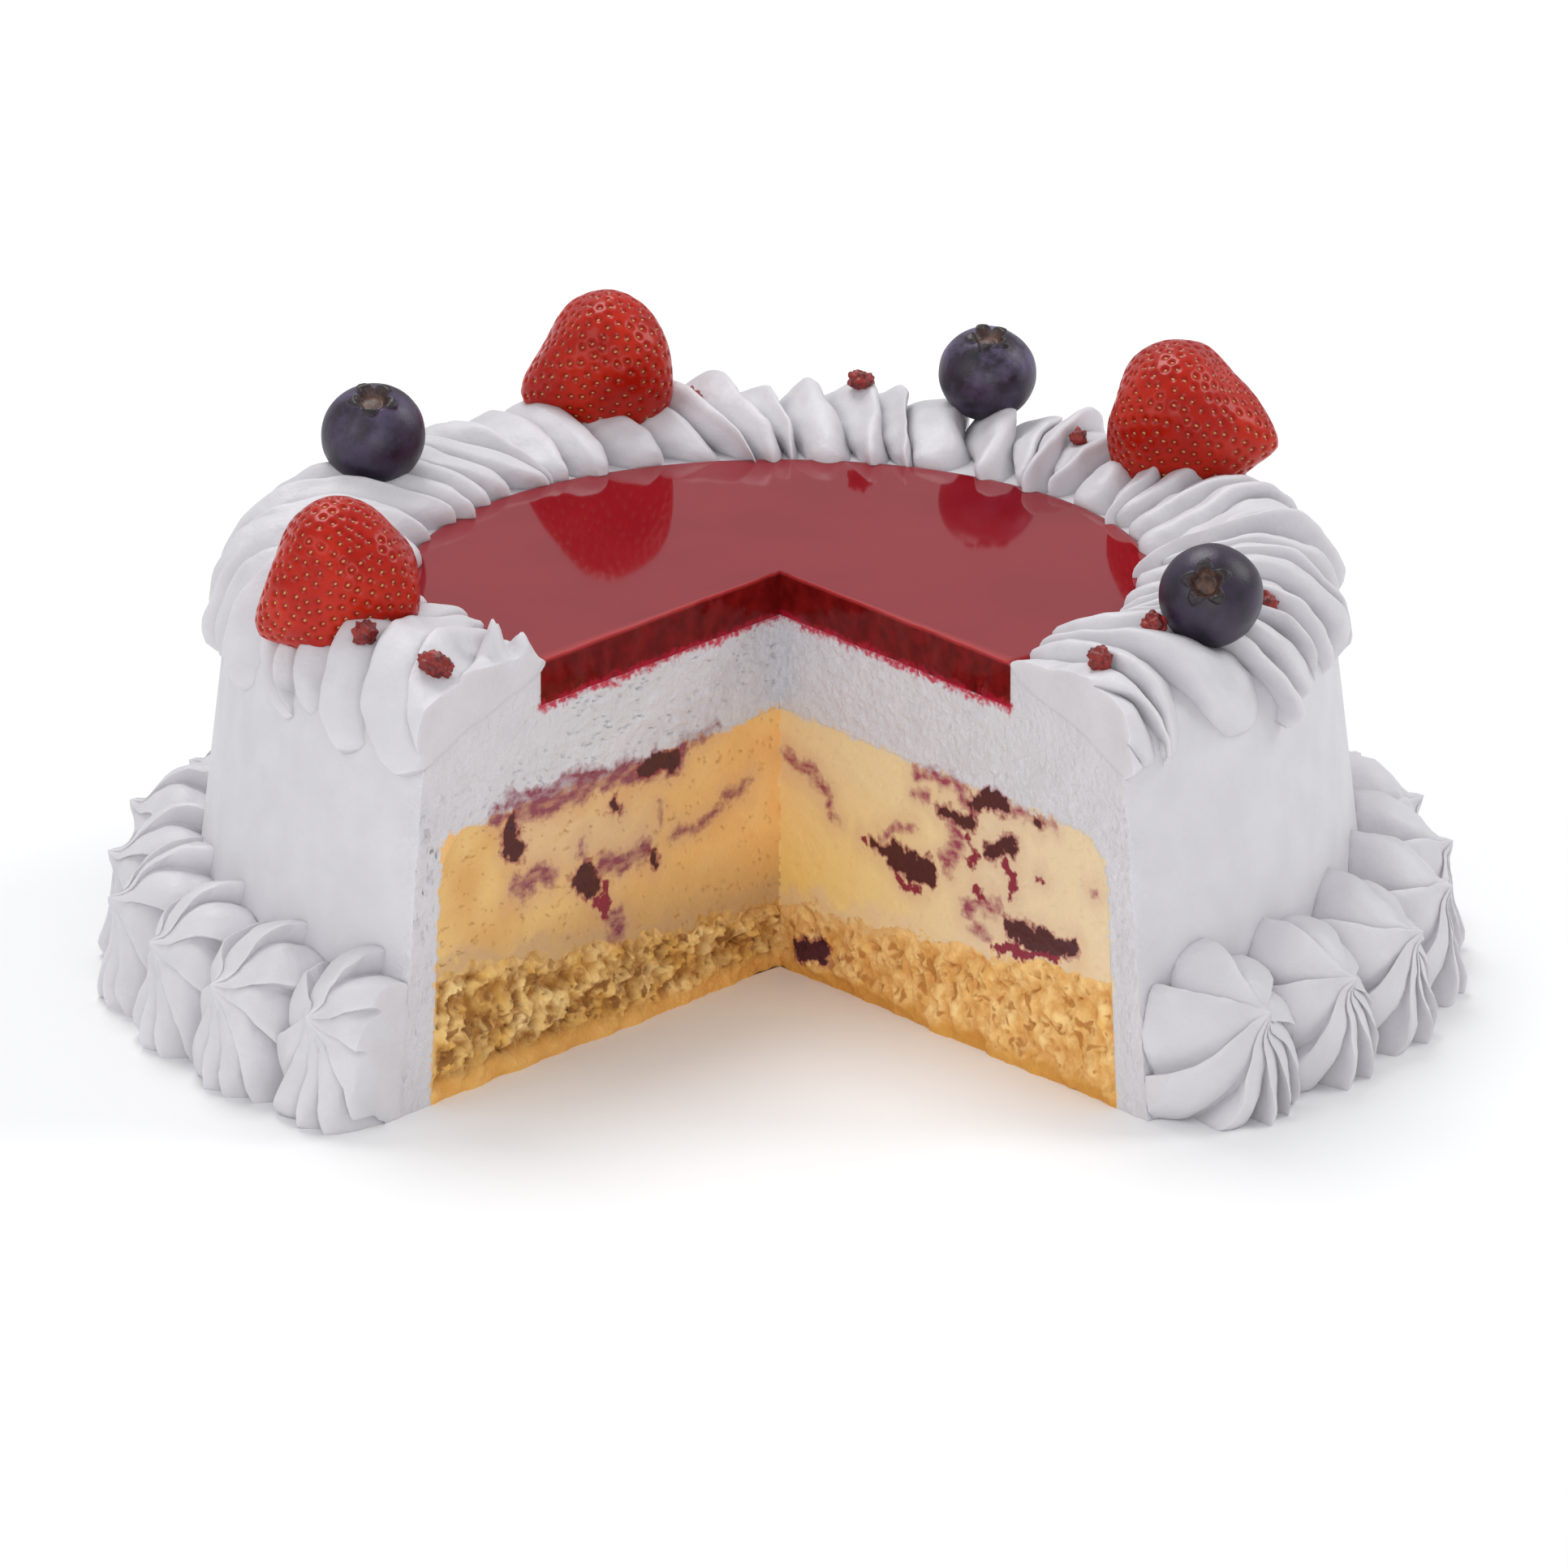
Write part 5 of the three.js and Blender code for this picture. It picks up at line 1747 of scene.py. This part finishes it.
flat = put(
    "ShaderNodeCombineXYZ",
    {
        "X": half, "Y": half,
        "Z": put("ShaderNodeMath", {0: half, 1: size["Flat"]}, operation="MULTIPLY"),
    },
)
grown = put("ShaderNodeVectorMath", {0: put("GeometryNodeInputPosition"), "Scale": reach}, operation="SCALE")
told = ball
for name, value in (("polar", polar), ("dry", sepal), ("cup", cup), ("bloom", size["Bloom"])):
    told = put(
        "GeometryNodeStoreNamedAttribute", {"Geometry": told, "Name": name, "Value": value},
        data_type="FLOAT", domain="POINT",
    )
flattened = put("ShaderNodeVectorMath", {0: grown, 1: flat}, operation="MULTIPLY")
berry = put("GeometryNodeSetPosition", {"Geometry": told, "Position": flattened})
end_tree(blueberry_tree, berry, size["Finish"])

# %% Blueberry skin
# Thin and nearly black: the wax scatters light and greys it, and the dry sepals are a dull brown
blueberry_skin, tree, shader = bare_material("blueberry_skin")
from_crown, own_bloom, in_cup, dry = [
    add(tree, "ShaderNodeAttribute", attribute_name=name).outputs["Fac"]
    for name in ("polar", "bloom", "cup", "dry")
]
spread = {"Value": from_crown, "From Min": 0.45, "From Max": 1.6, "To Min": 0.5, "To Max": 0.14}
most = add(tree, "ShaderNodeMapRange", spread)
most = add(tree, "ShaderNodeMath", {0: most, 1: own_bloom}, operation="MULTIPLY")
spot = add(tree, "ShaderNodeTexCoord").outputs["Object"]
wax = add(tree, "ShaderNodeTexNoise", {"Vector": spot, "Scale": 1 / (6 * MM), "Detail": 4, "Roughness": 0.6})
bloom = add(tree, "ShaderNodeMapRange", {"Value": wax, "From Min": 0.42, "From Max": 0.72, "To Max": most})
husk = painted(
    tree, mottled(tree, 1.2, "#120d10", "#2c2024"),
    [(mottled(tree, 1.5, "#3a2520", "#6b4a3c"), in_cup)],
)
look = {
    "Base Color": painted(
        tree, mottled(tree, 5, "#191120", "#2f2138"), [(linear("#72658a"), bloom), (husk, dry)],
    ),
    "Roughness": 0.42,
    "Normal": grained(tree, 0.5, 0.05),
}
join(tree, shader, look)
print("finish:", blueberry_skin.name)

# %% Three blueberries on the rope
# Name, place, distance from the axis, height, width, share of bloom, and the way that the crown points
# The right berry's small share of bloom is partly painted shade, as that berry lies in shade
BLUEBERRIES = [
    ("blueberry_left", -117.5, 81, 86.5, 18.6, 1.1, (0, -0.41, 0.91)),
    ("blueberry_back", 154.5, 86, 85.2, 17.4, 2.6, (0.02, -0.3, 0.95)),
    ("blueberry_right", 56.7, 89.3, 84.6, 18.2, 0.2, (-0.13, -0.83, 0.54)),
]
for number, (name, place, radius, height, width, bloom, aim) in enumerate(BLUEBERRIES):
    sizes = {
        "Width": width, "Flat": 0.96, "Cup depth": 0.16, "Sepal height": 0.07, "Bloom": bloom,
        "Seed": 2 + number,
    }
    mesh = laid(run_tree(name, blueberry_tree, blueberry_skin, sizes), place, radius, height, aim)
    set_piece("fresh_" + name, mesh, [name], 80)

# %% [markdown]
# ## Crumbs of dried berry
# A few crumbs of dried raspberry were dropped on the rope, each a small lump of beads. A ray straight down
# finds where each one lands. The tree sets a ball on every landing point, and once the balls are real a
# Voronoi pattern in millimetres presses beads into them, so no two crumbs are the same.

# %% Where the crumbs land
# Place, distance from the axis and width of each crumb
CRUMBS = [
    (-110, 86, 4.2),
    (-52, 91, 4.6),
    (-41.8, 89, 4.8),
    (-169, 83, 4),
    (170, 83.5, 4.6),
    (137.7, 79, 3.2),
    (69.3, 90, 4.2),
    (50, 84.5, 4),
    (40, 86, 4.8),
]
ABOVE_CAKE = 120
# Freeze-dried berry is dry and full of air: a dull crimson, lighter in patches
dried_berry, tree, shader = bare_material("dried_berry")
join(tree, shader, {"Base Color": mottled(tree, 1.5, "#5e0d0d", "#94231a"), "Roughness": 0.45})

corners, faces = [v.co for v in rope_mesh.vertices], [p.vertices[:] for p in rope_mesh.polygons]
rope_sheet = BVHTree.FromPolygons(corners, faces)
down = Vector((0, 0, -1))
drops = [Vector(at(place, radius, ABOVE_CAKE)) for place, radius, width in CRUMBS]
landed = [rope_sheet.ray_cast(drop, down)[0] for drop in drops]
crumb_points = bpy.data.meshes.new("crumb points")
crumb_points.from_pydata(landed, [], [])
set_points(crumb_points, {"width": np.array([width for place, radius, width in CRUMBS])})
print("crumbs landed:", len(landed))

# %% Crumbs on the rope
crumb_tree, size = new_tree("Crumbs", ["Bead size", "Bead depth", "Lift"])
put = functools.partial(add, crumb_tree)
lump = put("GeometryNodeMeshIcoSphere", {"Radius": 0.5, "Subdivisions": 5})
raised = put(
    "ShaderNodeCombineXYZ",
    {"Z": put("ShaderNodeMath", {0: size["Lift"], 1: MM}, operation="MULTIPLY")},
)
spots = put("GeometryNodeSetPosition", {"Geometry": size["Geometry"], "Offset": raised})
own_width = put(
    "ShaderNodeMath",
    {0: put("GeometryNodeInputNamedAttribute", {"Name": "width"}, data_type="FLOAT"), 1: MM},
    operation="MULTIPLY",
)
tall = put(
    "FunctionNodeRandomValue", {0: (1.1, 0.9, 0.8), 1: (1.5, 1.2, 1.1), "Seed": 9},
    data_type="FLOAT_VECTOR",
)
any_way = put(
    "FunctionNodeRandomValue", {0: (0, 0, 0), 1: (0.6, 0.6, 6.28), "Seed": 2}, data_type="FLOAT_VECTOR",
)
shape = put("ShaderNodeVectorMath", {0: tall, "Scale": own_width}, operation="SCALE")
lumps = put(
    "GeometryNodeInstanceOnPoints",
    {"Points": spots, "Instance": lump, "Rotation": any_way, "Scale": shape},
)
lumps = put("GeometryNodeRealizeInstances", {"Geometry": lumps})
in_mm = put("ShaderNodeVectorMath", {0: put("GeometryNodeInputPosition"), "Scale": 1 / MM}, operation="SCALE")
beads = put(
    "ShaderNodeTexVoronoi",
    {"Vector": in_mm, "Scale": put("ShaderNodeMath", {0: 1, 1: size["Bead size"]}, operation="DIVIDE")},
    feature="SMOOTH_F1",
)
swell = put("ShaderNodeMapRange", {"Value": beads, "From Max": 0.8, "To Min": 0.5, "To Max": -0.8})
swell = put(
    "ShaderNodeMath",
    {0: swell, 1: put("ShaderNodeMath", {0: size["Bead depth"], 1: MM}, operation="MULTIPLY")},
    operation="MULTIPLY",
)
offset = put("ShaderNodeVectorMath", {0: put("GeometryNodeInputNormal"), "Scale": swell}, operation="SCALE")
lumps = put("GeometryNodeSetPosition", {"Geometry": lumps, "Offset": offset})
end_tree(crumb_tree, lumps, size["Finish"])
crumb_sizes = {"Bead size": 1.2, "Bead depth": 0.9, "Lift": 1}
crumb_mesh = run_tree("crumbs", crumb_tree, dried_berry, crumb_sizes, crumb_points)
set_piece("berry_crumbs", crumb_mesh, (), 80)

# %% [markdown]
# ## Stage, light and camera
# A pale floor and soft light from all round keep the whites soft, as in a studio tent. A large light from
# the front left models the piping and one from the right lifts that side. The camera is far away with a
# long lens, which keeps the cake's sides nearly parallel, and it was fitted to the cut planes and the jelly.

# %% Floor
floor_mesh = bpy.data.meshes.new("floor")
FLOOR_HALF = 4.0
floor_corners = [(x * FLOOR_HALF, y * FLOOR_HALF, 0) for x, y in ((-1, -1), (1, -1), (1, 1), (-1, 1))]
floor_mesh.from_pydata(floor_corners, [], [(0, 1, 2, 3)])
# Studio paper: matt and almost white, with soft shadows
pale_floor, tree, shader = bare_material("pale_floor")
join(tree, shader, {"Base Color": linear("#fafafa"), "Roughness": 0.6})
floor_mesh.materials.append(pale_floor)
floor = bpy.data.objects.new("floor", floor_mesh)
bpy.context.scene.collection.objects.link(floor)
floor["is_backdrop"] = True
print("floor", 2 * FLOOR_HALF, "m wide")

# %% Light from all round
world = bpy.data.worlds.new("studio")
world.use_nodes = True
sky = {"Color": linear("#f7f8fb"), "Strength": 0.56}
join(world.node_tree, world.node_tree.nodes["Background"], sky)
bpy.context.scene.world = world
bpy.context.scene.view_settings.view_transform = "Standard"
bpy.context.scene.view_settings.look = "None"

# Name, place in metres, width in metres and power in watts. They all aim at the middle of the cake
LIGHT_AIM = Vector((0, 0, 0.04))
SOFT_LIGHTS = [
    ("key_left", (-1.1, -1.0, 0.9), 1.2, 6),
    ("fill_right", (1.2, 0.3, 1.0), 0.8, 6.5),
    ("front_wide", (0.15, -1.8, 0.4), 0.9, 6),
    ("top_back", (-0.3, 0.7, 1.4), 0.8, 10),
]
for name, place, width, power in SOFT_LIGHTS:
    lamp = bpy.data.lights.new(name, "AREA")
    lamp.shape = "DISK"
    lamp.size = width
    lamp.energy = power
    light = bpy.data.objects.new(name, lamp)
    light.location = place
    light.rotation_euler = (LIGHT_AIM - light.location).to_track_quat("-Z", "Y").to_euler()
    bpy.context.scene.collection.objects.link(light)
print("lights:", [row[0] for row in SOFT_LIGHTS])

# %% Camera
# Distance in metres, rise and tilt in degrees, and a shift to the side in metres
CAMERA_DISTANCE, CAMERA_RISE, CAMERA_TILT, CAMERA_SIDE = 4.0, 18.87, 18.41, 0.00074
IMAGE_WIDTH, FOCAL_PIXELS, SENSOR_MM = 1932, 27949, 36
lens = bpy.data.cameras.new("camera")
lens.sensor_width = SENSOR_MM
lens.lens = SENSOR_MM * FOCAL_PIXELS / IMAGE_WIDTH
lens.clip_end = 30
camera = bpy.data.objects.new("camera", lens)
rise = math.radians(CAMERA_RISE)
away = CAMERA_DISTANCE * Vector((0, -math.cos(rise), math.sin(rise)))
camera.location = AXIS + away + Vector((CAMERA_SIDE, 0, 0))
camera.rotation_euler = (math.radians(90 - CAMERA_TILT), 0, 0)
bpy.context.scene.collection.objects.link(camera)
bpy.context.scene.camera = camera
print("lens", round(lens.lens, 1), "mm")

# %% [markdown]
# ## Sizes and the end
# The dressed cake has to keep the size of its solids, so both boxes are printed.

# %% Boxes and finish
visual_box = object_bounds()
boxes = {"cad": [list(corner) for corner in cad_box], "visual": [list(corner) for corner in visual_box]}
for name, (low, high) in boxes.items():
    print(name, "box in mm", [round((b - a) / MM, 1) for a, b in zip(low, high)])
